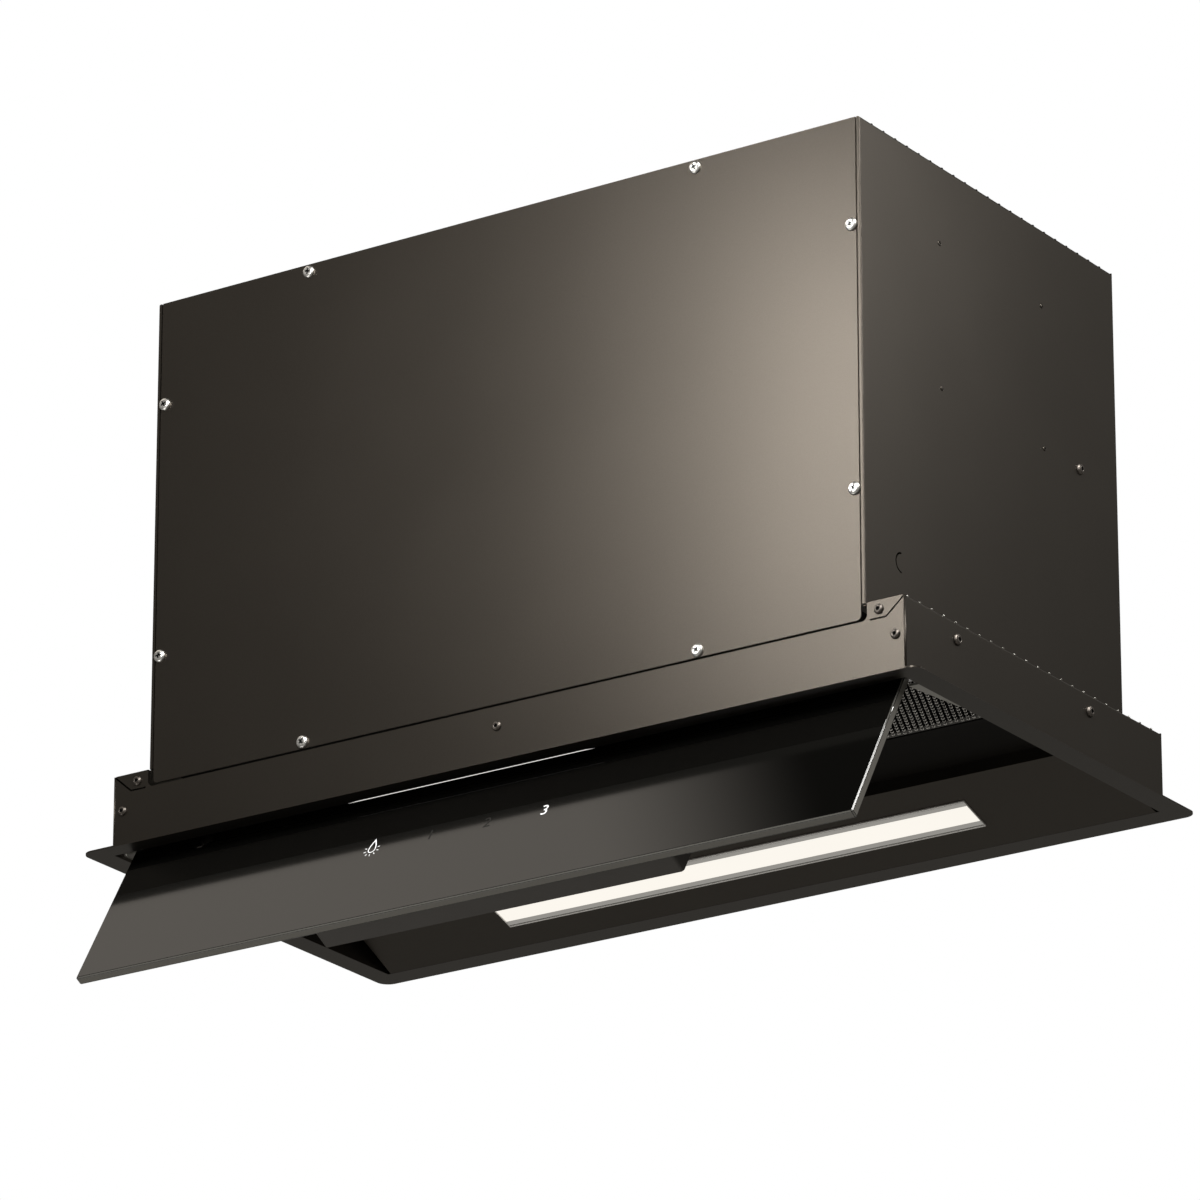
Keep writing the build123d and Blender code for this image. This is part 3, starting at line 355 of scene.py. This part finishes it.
coverScrew = {
    "head": [(2.6, 2.2), (3.3, 1.95), (3.8, 1.35), (4.0, 0.7), (4.0, 0.0)],   # radius and height
    "armLength": 1.9, "armWidth": 0.85, "depth": 1.4,
    "spots": [(142.0, 349.5), (251.0, 286.5), (251.0, 121.1), (142.0, 43.9)],
}
collarScrew = {
    "head": [(1.9, 1.7), (2.5, 1.4), (2.95, 0.8), (3.1, 0.25), (3.1, 0.0)],
    "hole": 1.15, "depth": 1.1,
    "spots": [(266.4, 43.6), (277.3, 26.2)],
    "middle": (0.0, 25.7),
}
sideScrew = {
    "head": [(2.1, 2.0), (2.9, 1.6), (3.4, 0.9), (3.6, 0.25), (3.6, 0.0)],
    "hole": 1.25, "depth": 1.2,
    "housing": (251.4, 211.0),
    "collar": [(62.8, 38.4), (211.6, 38.4)],
}
sideRivet = {
    "head": [(0.95, 0.5), (1.3, 0.4), (1.6, 0.12), (1.6, 0.0)],
    "hole": 0.75, "depth": 0.4,
    "ys": (93.6, 210.2), "zs": (211.0, 303.8),
}


def crossPatch(bm, length, width):
    # a cross of five faces, from a grid with its corners taken off
    bmesh.ops.create_grid(bm, x_segments=3, y_segments=3, size=length * mm)
    for vert in bm.verts:
        for axis in (0, 1):
            if abs(vert.co[axis]) < 0.5 * length * mm:
                vert.co[axis] = math.copysign(width * mm / 2, vert.co[axis])
    middles = {f: f.calc_center_median() for f in bm.faces}
    corners = [f for f, middle in middles.items() if min(abs(middle.x), abs(middle.y)) > width * mm / 2]
    bmesh.ops.delete(bm, geom=corners, context="FACES")
    return list(bm.faces)


def roundPatch(bm, radius):
    bmesh.ops.create_circle(bm, cap_ends=True, segments=headSides, radius=radius * mm)
    return list(bm.faces)


def screwHead(size, patch):
    # head round a recess: the recess is pushed in, the rim grown down to the seat
    bm = bmesh.new()
    recess = patch(bm)
    rim = edgeLoop(bm, recess)
    (firstRadius, firstHeight), rest = size["head"][0], size["head"][1:]
    ring = bmesh.ops.create_circle(bm, cap_ends=False, segments=headSides, radius=firstRadius * mm)
    ringEdges = list({e for v in ring["verts"] for e in v.link_edges})
    bmesh.ops.bridge_loops(bm, edges=rim + ringEdges)
    bmesh.ops.translate(bm, verts=bm.verts, vec=(0, 0, firstHeight * mm))
    floor = bmesh.ops.extrude_face_region(bm, geom=recess)
    bmesh.ops.delete(bm, geom=recess, context="FACES")
    lowered = [v for v in floor["geom"] if isinstance(v, bmesh.types.BMVert)]
    bmesh.ops.translate(bm, verts=lowered, vec=(0, 0, -size["depth"] * mm))
    bmesh.ops.scale(bm, verts=lowered, vec=(0.8, 0.8, 1.0))
    # the recess faces take slot 1, painted shade black
    for face in {f for v in lowered for f in v.link_faces}:
        face.material_index = 1
    edges, radius, height = ringEdges, firstRadius, firstHeight
    for nextRadius, nextHeight in rest:
        grown = bmesh.ops.extrude_edge_only(bm, edges=edges)["geom"]
        verts = [v for v in grown if isinstance(v, bmesh.types.BMVert)]
        edges = [e for e in grown if isinstance(e, bmesh.types.BMEdge)]
        bmesh.ops.scale(bm, verts=verts, vec=(nextRadius / radius, nextRadius / radius, 1.0))
        bmesh.ops.translate(bm, verts=verts, vec=(0, 0, (nextHeight - height) * mm))
        radius, height = nextRadius, nextHeight
    bmesh.ops.contextual_create(bm, geom=edges)
    bmesh.ops.remove_doubles(bm, verts=bm.verts, dist=1e-7)
    bmesh.ops.recalc_face_normals(bm, faces=bm.faces)
    return bm


def placeHeads(name, size, patch, places, material, nodeName, body="hood"):
    bm = bmesh.new()
    addCopies(bm, screwHead(size, patch), places)
    piece = finishMesh(name, bm, [material, paintedShadeBlack], body, smooth=False)
    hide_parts(nodeName)
    for face in piece.data.polygons:
        face.use_smooth = abs(face.area) < 4e-7
    return piece


def anyTurn():
    return random.uniform(0, math.pi)


def onFront(x, z):
    return facing(x, front, z, (0, -1, 0), anyTurn())


coverPlaces = [onFront(s * x, z) for x, z in coverScrew["spots"] for s in (-1, 1)]
placeHeads("coverScrewHeads", coverScrew,
           lambda bm: crossPatch(bm, coverScrew["armLength"], coverScrew["armWidth"]), coverPlaces,
           chrome, "cover_screws")

collarPlaces = [onFront(s * x, z) for x, z in collarScrew["spots"] for s in (-1, 1)]
collarPlaces.append(onFront(*collarScrew["middle"]))
placeHeads("collarScrewHeads", collarScrew, lambda bm: roundPatch(bm, collarScrew["hole"]),
           collarPlaces, bronzeScrew, "collar_screws")

sidePlaces = []
for s in (-1, 1):
    sidePlaces.append(facing(s * housingHalf, *sideScrew["housing"], (s, 0, 0), anyTurn()))
    sidePlaces += [facing(s * collarHalf, y, z, (s, 0, 0), anyTurn()) for y, z in sideScrew["collar"]]
placeHeads("sideScrewHeads", sideScrew, lambda bm: roundPatch(bm, sideScrew["hole"]),
           sidePlaces, bronzeScrew, "side_screws")

rivetPlaces = [facing(s * housingHalf, y, z, (s, 0, 0)) for s in (-1, 1) for y in sideRivet["ys"]
               for z in sideRivet["zs"]]
placeHeads("sideRivetHeads", sideRivet, lambda bm: roundPatch(bm, sideRivet["hole"]),
           rivetPlaces, bronzePaint, "side_rivets")
print("fasteners placed")


# Fold marks
foldMark = {"length": 2.3, "width": 1.3, "height": 0.55, "pitch": 13.05}
collarMarks = {"start": 3.6, "count": 22, "inset": 0.35, "height": 49.0}
housingMarks = {"start": 14.0, "count": 21, "inset": 0.55, "height": 354.1}


def foldMarks(name, run, half, material):
    # small pressed beads along both sides, where the sheet is perforated along a fold
    bm = bmesh.new()
    stamp = bmesh.new()
    bmesh.ops.create_uvsphere(stamp, u_segments=8, v_segments=4, radius=0.5)
    size = (foldMark["length"] * mm, foldMark["width"] * mm, foldMark["height"] * 2 * mm)
    bmesh.ops.scale(stamp, verts=stamp.verts, vec=size)
    bmesh.ops.rotate(stamp, verts=stamp.verts, cent=(0, 0, 0), matrix=Matrix.Rotation(math.pi / 2, 3, "Z"))
    ys = [front + run["start"] + i * foldMark["pitch"] for i in range(run["count"])]
    spots = [(s * (half - run["inset"]), y, run["height"]) for s in (-1, 1) for y in ys]
    addCopies(bm, stamp, [Matrix.Translation(Vector(p) * mm) for p in spots])
    return finishMesh(name, bm, material, "hood")


foldMarks("collarFoldMarks", collarMarks, collarHalf, zinc)
# the housing's marks are painted shade black, for the dark inside the perforations
foldMarks("housingFoldMarks", housingMarks, housingHalf, paintedShadeBlack)

# Rounded upright corners where the collar front meets its sides
cornerBead = {
    "inner": 283.2, "outer": 284.3, "near": 6.1, "far": 7.2, "low": 0.1, "high": 49.0,
    "round": 0.75, "steps": 5,
}


def outerUpright(edge):
    # an upright edge at the front and on the outside
    one, two = (v.co for v in edge.verts)
    middle = (cornerBead["near"] + cornerBead["far"]) / 2
    return one.z != two.z and one.y < middle * mm and abs(one.x) > collarHalf * mm


def makeCornerBeads():
    bm = bmesh.new()
    for side in (-1, 1):
        bar(bm, sorted((side * cornerBead["inner"], side * cornerBead["outer"])),
            (cornerBead["near"], cornerBead["far"]), (cornerBead["low"], cornerBead["high"]))
    uprights = [e for e in bm.edges if outerUpright(e)]
    bmesh.ops.bevel(bm, geom=uprights, offset=cornerBead["round"] * mm, affect="EDGES",
                    segments=cornerBead["steps"], profile=0.5, material=-1)
    finishMesh("collarCornerBeads", bm, bronzePaint, "hood")


makeCornerBeads()
print("fold marks and corner beads pressed")


# Glass flap
glass = {
    "width": 550.5, "front": 11.4, "rear": 156.2, "low": -1.0, "thickness": 6.0,
    "corner": 0.9, "bevel": 0.9, "hair": 0.2,
    "pivot": (32.4, 9.0), "swing": 120.4,
}


def openFlap():
    # from the closed place, flat under the collar, to the open rest pose
    y, z = glass["pivot"]
    pivot = Vector((0, y * mm, z * mm))
    turn = Matrix.Rotation(-math.radians(glass["swing"]), 4, "X")
    return Matrix.Translation(pivot) @ turn @ Matrix.Translation(-pivot)


def makePane():
    bm = bmesh.new()
    bmesh.ops.create_cube(bm, size=1.0)
    length = glass["rear"] - glass["front"]
    bmesh.ops.scale(bm, verts=bm.verts, vec=(glass["width"] * mm, length * mm, glass["thickness"] * mm))
    centre = ((glass["rear"] + glass["front"]) / 2, glass["low"] + glass["thickness"] / 2)
    bmesh.ops.translate(bm, verts=bm.verts, vec=(0, centre[0] * mm, centre[1] * mm))
    upright = [e for e in bm.edges if abs((e.verts[0].co - e.verts[1].co).z) > 1e-4]
    bmesh.ops.bevel(bm, geom=upright, offset=glass["corner"] * mm, affect="EDGES", segments=1, profile=0.5,
                    material=-1)
    wide = [f for f in bm.faces if abs(f.normal.z) > 0.9]
    rims = list({e for f in wide for e in f.edges})
    bmesh.ops.bevel(bm, geom=rims, offset=glass["bevel"] * mm, affect="EDGES", segments=1, profile=0.5,
                    material=-1)
    for face in bm.faces:
        up = face.normal.z
        face.material_index = 0 if abs(up) > 0.9 else 1 if up < -0.3 else 3 if up > 0.3 else 2
    sharp = [e for e in bm.edges if e.calc_face_angle(0) > 0.3]
    bmesh.ops.bevel(bm, geom=sharp, offset=glass["hair"] * mm, affect="EDGES", segments=2, profile=0.5,
                    material=0)
    bmesh.ops.transform(bm, matrix=openFlap(), verts=bm.verts)
    faces = [flapGlass, glassBevel, glassEdge, glassShade]
    pane = finishMesh("glassPane", bm, faces, "flap", smooth=False)
    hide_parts("glass_flap")


makePane()

marks = {
    "lift": 0.04, "sheet": 0.03,
    "digitHeight": 8.3, "fontSize": 1.4, "thin": -0.03,
    "lamp": (-79.7, 95.0), "digits": {"1": (-37.8, 93.6), "2": (3.1, 93.8), "3": (43.9, 94.0)},
    "dropRadius": 2.7, "dropTip": 9.6, "stroke": 0.6, "tipStroke": 2.04,
    "rays": 7, "rayInner": 4.0, "rayOuter": 5.6, "rayStroke": 0.45, "fan": (160.0, 380.0),
}


def onGlass(x, y):
    # a place on the outer face, its own up direction towards the hinge
    place = Vector((x, y, glass["low"] - marks["lift"])) * mm
    return openFlap() @ Matrix.Translation(place) @ Matrix.Rotation(math.pi, 4, "X")


def digit(text, x, y, material):
    curve = bpy.data.curves.new("digit", "FONT")
    curve.body = text
    curve.align_x = "CENTER"
    curve.align_y = "CENTER"
    curve.size = marks["digitHeight"] * marks["fontSize"] * mm
    curve.extrude = marks["sheet"] * mm / 2
    curve.offset = marks["thin"] * mm
    holder = bpy.data.objects.new("digit", curve)
    bpy.context.scene.collection.objects.link(holder)
    bpy.context.view_layer.update()
    flat = bpy.data.meshes.new_from_object(holder)
    bpy.data.objects.remove(holder)
    bm = bmesh.new()
    bm.from_mesh(flat)
    bmesh.ops.remove_doubles(bm, verts=bm.verts, dist=1e-7)
    bmesh.ops.transform(bm, matrix=onGlass(x, y), verts=bm.verts)
    bmesh.ops.recalc_face_normals(bm, faces=bm.faces)
    finishMesh("glassMark" + text, bm, material, "flap", smooth=False)


def dropLoop(bm, radius, tip):
    # one outline of a hanging drop: a circle whose upper half runs up to a point
    ring = bmesh.ops.create_circle(bm, cap_ends=False, segments=32, radius=radius * mm)["verts"]
    for vert in ring:
        share = vert.co.y / (radius * mm)
        if share > 0:
            vert.co.x *= 1 - share ** 2 * (1 - 0.35 * (1 - share))
            vert.co.y = tip * mm * share
    return list({e for v in ring for e in v.link_edges})


def lampSign():
    # a hanging drop with short rays under it
    bm = bmesh.new()
    outer = dropLoop(bm, marks["dropRadius"], marks["dropTip"])
    inner = dropLoop(bm, marks["dropRadius"] - marks["stroke"], marks["dropTip"] - marks["tipStroke"])
    bmesh.ops.bridge_loops(bm, edges=outer + inner)
    for i in range(marks["rays"]):
        first, last = marks["fan"]
        angle = math.radians(first + (last - first) * i / (marks["rays"] - 1))
        ray = bmesh.ops.create_grid(bm, x_segments=1, y_segments=1, size=0.5)["verts"]
        length, middle = marks["rayOuter"] - marks["rayInner"], (marks["rayOuter"] + marks["rayInner"]) / 2
        bmesh.ops.scale(bm, verts=ray, vec=(length * mm, marks["rayStroke"] * mm, 1))
        bmesh.ops.translate(bm, verts=ray, vec=(middle * mm, 0, 0))
        bmesh.ops.rotate(bm, verts=ray, cent=(0, 0, 0), matrix=Matrix.Rotation(angle, 3, "Z"))
    bmesh.ops.solidify(bm, geom=bm.faces, thickness=marks["sheet"] * mm)
    bmesh.ops.transform(bm, matrix=onGlass(*marks["lamp"]), verts=bm.verts)
    bmesh.ops.recalc_face_normals(bm, faces=bm.faces)
    finishMesh("glassMarkLamp", bm, markGlow, "flap", smooth=False)


lampSign()
for text, (x, y) in marks["digits"].items():
    digit(text, x, y, markGlow if text == "3" else markDim)
print("glass and its marks made")


# Light line: a smoked lens whose rear lip glows towards the front
lightLine = {
    "left": -109.2, "right": 68.2, "near": 7.2, "far": 8.4, "top": 4.0,
    "lens": -0.4, "low": -1.0, "glowTop": -0.52, "sheet": 0.12, "taper": 7.0,
    "past": 0.8, "ease": 0.05, "glowGap": 0.02, "endGlow": 0.4,
}


def makeLightLine():
    bm = bmesh.new()
    ends = (lightLine["left"] - lightLine["past"], lightLine["right"] + lightLine["past"])
    glowFace = lightLine["far"] - lightLine["sheet"]
    bar(bm, ends, (lightLine["near"], glowFace), (lightLine["lens"], lightLine["top"]),
        ease=lightLine["ease"])
    bar(bm, ends, (glowFace, lightLine["far"]), (lightLine["low"], lightLine["top"]))
    strip = bmesh.ops.create_grid(bm, x_segments=3, y_segments=1, size=0.5)["verts"]
    length = lightLine["right"] - lightLine["left"]
    height = lightLine["glowTop"] - lightLine["low"]
    bmesh.ops.scale(bm, verts=strip, vec=(length * mm, height * mm, 1))
    for vert in strip:
        if abs(abs(vert.co.x) - length * mm / 6) < 1e-6:
            vert.co.x = math.copysign((length / 2 - lightLine["taper"]) * mm, vert.co.x)
        elif vert.co.y > 0:
            vert.co.y = -height * mm * lightLine["endGlow"]     # the glow thins out at its ends
    bmesh.ops.rotate(bm, verts=strip, cent=(0, 0, 0), matrix=Matrix.Rotation(math.pi / 2, 3, "X"))
    middle = ((lightLine["left"] + lightLine["right"]) / 2, glowFace - lightLine["glowGap"],
              (lightLine["low"] + lightLine["glowTop"]) / 2)
    bmesh.ops.translate(bm, verts=strip, vec=Vector(middle) * mm)
    for face in {f for v in strip for f in v.link_faces}:
        face.material_index = 1
    piece = finishMesh("lightLineLens", bm, [smokedPlastic, lineGlow], "hood", smooth=False)
    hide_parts("front_light_lens")


makeLightLine()


# Lamp in the panel: lip, groove and silver rail along each side, the diffuser reaching both ends. The groove
# and lamp body are painted shade black, and the rail glows with painted light from the lamp.
lampTrim = {
    "foot": (0.0, 292.1, -1.0), "run": 66.7, "rise": 22.4, "middle": -34.6,
    "length": 349.0, "width": 26.7, "proud": 1.0,
    "lip": 0.9, "endLip": 0.5, "groove": 1.0, "rail": 3.4, "railProud": 0.8, "railInner": 0.35,
    "railBack": 0.15, "grooveBack": 0.02, "lipEase": 0.12, "endEase": 0.1,
    "diffuser": 0.3, "diffuserBack": 1.7, "wall": 1.2, "bodyInset": 2.0, "depth": 10.0,
}


def lampPlace():
    lean = math.atan2(lampTrim["rise"], lampTrim["run"])
    foot = Matrix.Translation(Vector(lampTrim["foot"]) * mm)
    return foot @ Matrix.Rotation(-lean, 4, "X") @ Matrix.Translation((0, lampTrim["middle"] * mm, 0))


def makeLamp():
    halfLong, halfWide = lampTrim["length"] / 2, lampTrim["width"] / 2
    lip = halfWide - lampTrim["lip"]
    end = halfLong - lampTrim["endLip"]
    outer = lip - lampTrim["groove"]
    inner = outer - lampTrim["rail"]
    bodyLong, bodyWide = halfLong - lampTrim["bodyInset"], halfWide - lampTrim["bodyInset"]
    wall, depth = lampTrim["wall"], lampTrim["depth"]
    lipDepth, back = (-lampTrim["proud"], 0), -lampTrim["railBack"]
    bm = bmesh.new()
    for side in (-1, 1):
        bar(bm, (-halfLong, halfLong), sorted((side * lip, side * halfWide)), lipDepth, lampTrim["lipEase"])
        bar(bm, sorted((side * end, side * halfLong)), (-lip, lip), lipDepth, lampTrim["endEase"])
        across = sorted((side * inner, side * outer))
        rail = bar(bm, (-end, end), across, (-lampTrim["railProud"], back), slot=2)
        for vert in rail:
            if vert.co.z < -0.5 * lampTrim["railProud"] * mm and abs(vert.co.y) < (inner + 0.1) * mm:
                vert.co.z = -lampTrim["railInner"] * mm
        bar(bm, (-bodyLong, bodyLong), sorted((side * (bodyWide - wall), side * bodyWide)), (0, depth),
            slot=1)
        bar(bm, sorted((side * (bodyLong - wall), side * bodyLong)), (wall - bodyWide, bodyWide - wall),
            (0, depth), slot=1)
        bar(bm, (-end, end), sorted((side * inner, side * lip)), (back, -lampTrim["grooveBack"]), slot=1)
    bar(bm, (-bodyLong, bodyLong), (-bodyWide, bodyWide), (depth - wall, depth), slot=1)
    bmesh.ops.transform(bm, matrix=lampPlace(), verts=bm.verts)
    # slot 1 is painted shade black for the groove and body, slot 2 a painted glow of lamp light on the rails
    faces = [lampSilver, paintedShadeBlack, railPaintedGlow]
    trim = finishMesh("lampTrim", bm, faces, "hood", smooth=False)
    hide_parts("lamp_frame")
    bm = bmesh.new()
    bar(bm, (-end, end), (-inner, inner), (-lampTrim["diffuser"], lampTrim["diffuserBack"]),
        ease=lampTrim["endEase"])
    bmesh.ops.transform(bm, matrix=lampPlace(), verts=bm.verts)
    diffuser = finishMesh("lampDiffuser", bm, lampGlow, "hood", smooth=False)
    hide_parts("lamp_diffuser")


makeLamp()
print("light line and lamp made")


# Grease filter: knitted columns running down the slope, over a backing sheet in painted shade black
knit = {
    "foot": (0.0, 109.4, 7.0), "slope": 48.0, "half": 276.8, "length": 46.4, "start": 0.5,
    "columns": 140, "stitch": 1.72, "spread": 0.66, "slant": 38.0,
    "slantLoose": 8.0, "spreadLoose": 0.08, "shiftLoose": 0.3, "shiftShare": 0.6,
    "grain": (2.0, 0.85, 0.9), "lift": 0.25,
    "backingHalf": 273.0, "backing": (2.4, 45.6), "sheet": (0.5, 4.4),
}


def loose(name):
    return random.uniform(-knit[name], knit[name])


def makeFilter():
    foot = Matrix.Translation(Vector(knit["foot"]) * mm)
    slope = foot @ Matrix.Rotation(-math.radians(knit["slope"]), 4, "X")
    grain = bmesh.new()
    bmesh.ops.create_icosphere(grain, subdivisions=1, radius=0.5)
    bmesh.ops.scale(grain, verts=grain.verts, vec=Vector(knit["grain"]) * mm)
    column = bmesh.new()
    spots = []
    for i in range(int(knit["length"] / knit["stitch"])):
        for side in (-1, 1):
            spin = math.radians(90 + side * (knit["slant"] + loose("slantLoose")))
            down = -(knit["start"] + (i + 0.5) * knit["stitch"]) * mm
            across = side * (knit["spread"] + loose("spreadLoose")) * mm
            place = Matrix.Translation((across, down, -knit["lift"] * mm))
            spots.append(place @ Matrix.Rotation(spin, 4, "Z"))
    addCopies(column, grain, spots)
    bm = bmesh.new()
    pitch = 2 * knit["half"] / knit["columns"]
    shifts = [loose("shiftLoose") * knit["stitch"] for _ in range(knit["columns"])]
    addCopies(bm, column, [
        Matrix.Translation(((-knit["half"] + (i + 0.5) * pitch) * mm, shift * mm * knit["shiftShare"], 0))
        for i, shift in enumerate(shifts)])
    near, far = knit["backing"]
    # the backing is painted shade black, for the dark between and behind the stitches
    bar(bm, (-knit["backingHalf"], knit["backingHalf"]), (-far, -near), knit["sheet"], slot=1)
    bmesh.ops.transform(bm, matrix=slope, verts=bm.verts)
    piece = finishMesh("filterKnit", bm, [filterKnit, paintedShadeBlack], "hood")
    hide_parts("filter_mesh")


makeFilter()
print("filter knitted")


# Studio
studio = {
    "world": 0.19,                       # grey light all round
    "worldTint": (1.0, 0.965, 0.90),
    "floorHeight": -1.7, "floorSize": 30.0, "floorColour": (0.86, 0.86, 0.85),
}


def makeWorld():
    world = bpy.data.worlds.new("studioWorld")
    world.use_nodes = True
    bpy.context.scene.world = world
    tree = world.node_tree
    tree.nodes.clear()
    shade = Shade(tree)
    path = tree.nodes.new("ShaderNodeLightPath")
    seen = shade.sum("MAXIMUM", Shade(tree, path.outputs["Is Camera Ray"]),
                     Shade(tree, path.outputs["Is Transmission Ray"]))
    colour = shade.blend(seen, studio["worldTint"], (1.0, 1.0, 1.0))
    strength = studio["world"] + seen * (1 - studio["world"])
    surface = shade.node("Background", {}, {"Color": colour, "Strength": strength})
    output = tree.nodes.new("ShaderNodeOutputWorld")
    tree.links.new(surface.socket, output.inputs["Surface"])


def areaLight(name, centre, toward, width, height, radiance, tint, onlyGloss):
    lamp = bpy.data.lights.new(name, "AREA")
    lamp.shape = "RECTANGLE"
    lamp.size, lamp.size_y = width, height
    lamp.energy = radiance * math.pi * width * height
    lamp.color = tint
    holder = bpy.data.objects.new(name, lamp)
    holder.location = centre
    holder.rotation_euler = (Vector(toward) - Vector(centre)).to_track_quat("-Z", "Y").to_euler()
    holder.visible_camera = False
    holder.visible_diffuse = not onlyGloss
    bpy.context.scene.collection.objects.link(holder)


def stagePlane(name, width, depth, place, material):
    bm = bmesh.new()
    bmesh.ops.create_grid(bm, x_segments=1, y_segments=1, size=0.5)
    bmesh.ops.scale(bm, verts=bm.verts, vec=(width, depth, 1))
    bmesh.ops.translate(bm, verts=bm.verts, vec=place)
    mesh = bpy.data.meshes.new(name)
    bm.to_mesh(mesh)
    bm.free()
    mesh.materials.append(material)
    plane = bpy.data.objects.new(name, mesh)
    bpy.context.scene.collection.objects.link(plane)
    return plane


makeWorld()
# centre, aim, width, height, radiance and tint
lights = {
    "stripLeft": ((-0.206, -0.785, 0.488), (0.15, 0.006, 0.18), 0.05, 0.384, 59.0, (1.0, 0.985, 0.97)),
    "stripRear": ((1.062, 0.684, 0.691), (0.257, 0.15, 0.18), 0.05, 0.276, 80.0, (1.0, 0.985, 0.97)),
    "stripRight": ((0.845, -1.04, 0.70), (0.26, 0.0, 0.18), 0.12, 0.9, 45.0, (1.0, 0.985, 0.97)),
    "boxOver": ((0.90, -0.36, 1.0), (0.90, -0.36, 0.0), 0.7, 0.49, 18.0, (1.0, 0.99, 0.97)),
    "fillLow": ((-0.75, -0.55, -1.05), (0.1, 0.05, 0.0), 0.8, 0.8, 1.8, (1.0, 0.98, 0.95)),
}
for lightName, light in lights.items():
    areaLight(lightName, *light, onlyGloss=lightName == "boxOver")

floorMaterial, floorShader, floorShade, floorWhere = newMaterial("paleFloor", {"Roughness": 0.9})
floorCloud = floorShade.noise(floorWhere, 2.0, 3.0)
floorDark = tuple(c * 0.98 for c in studio["floorColour"])
floorTone = floorShade.blend(floorCloud, floorDark, studio["floorColour"])
floorShade.plug(floorShader.inputs["Base Color"], floorTone)
floorPlace = (0, 0, studio["floorHeight"])
stagePlane("studioFloor", studio["floorSize"], studio["floorSize"], floorPlace, floorMaterial)

# overhead card that only gloss sees: warm white on the left, fading to black on the right and dim behind
card = {
    "place": (-0.60, -0.06, 1.0), "width": 1.7, "depth": 1.2,
    "colour": (1.0, 0.92, 0.82), "whiteUntil": -0.60, "blackFrom": -0.385,
    "rearEdge": -0.1262, "dim": (0.055, 0.052, 0.045),
}
cardMaterial = bpy.data.materials.new("gradedCard")
cardMaterial.use_nodes = True
cardTree = cardMaterial.node_tree
cardTree.nodes.clear()
cardShade = Shade(cardTree)
cardWhere = cardShade.node("TexCoord", {}, {}, out=3)
cardX = cardShade.node("SeparateXYZ", {}, {"Vector": cardWhere})
cardY = cardShade.node("SeparateXYZ", {}, {"Vector": cardWhere}, out=1)
behind = cardShade.sum("GREATER_THAN", cardY, card["rearEdge"])
fadeRange = {"From Min": card["whiteUntil"], "From Max": card["blackFrom"], "To Min": 1.0, "To Max": 0.0}
fade = cardShade.node("MapRange", {"interpolation_type": "SMOOTHSTEP"}, {"Value": cardX, **fadeRange})
tone = cardShade.blend(behind, cardShade.blend(fade, (0.0, 0.0, 0.0), card["colour"]), card["dim"])
glow = cardShade.node("Emission", {}, {"Color": tone, "Strength": 1.0})
cardOut = cardTree.nodes.new("ShaderNodeOutputMaterial")
cardTree.links.new(glow.socket, cardOut.inputs["Surface"])
cardPlane = stagePlane("gradedCard", card["width"], card["depth"], card["place"], cardMaterial)
cardPlane.visible_camera = False
cardPlane.visible_diffuse = False
cardPlane.visible_shadow = False
print("studio set")


# Camera
view = {
    "place": (2.52018, -3.59745, -1.53727),
    "forward": (-0.52620, 0.77505, 0.34989),
    "lens": 237.545, "sensor": 36.0,
}
camera = bpy.data.cameras.new("photoCamera")
camera.lens = view["lens"]
camera.sensor_width = view["sensor"]
camera.clip_end = 100.0
cameraHolder = bpy.data.objects.new("photoCamera", camera)
cameraHolder.location = view["place"]
cameraHolder.rotation_euler = Vector(view["forward"]).to_track_quat("-Z", "Y").to_euler()
bpy.context.scene.collection.objects.link(cameraHolder)
bpy.context.scene.camera = cameraHolder
bpy.context.scene.view_settings.view_transform = "Standard"
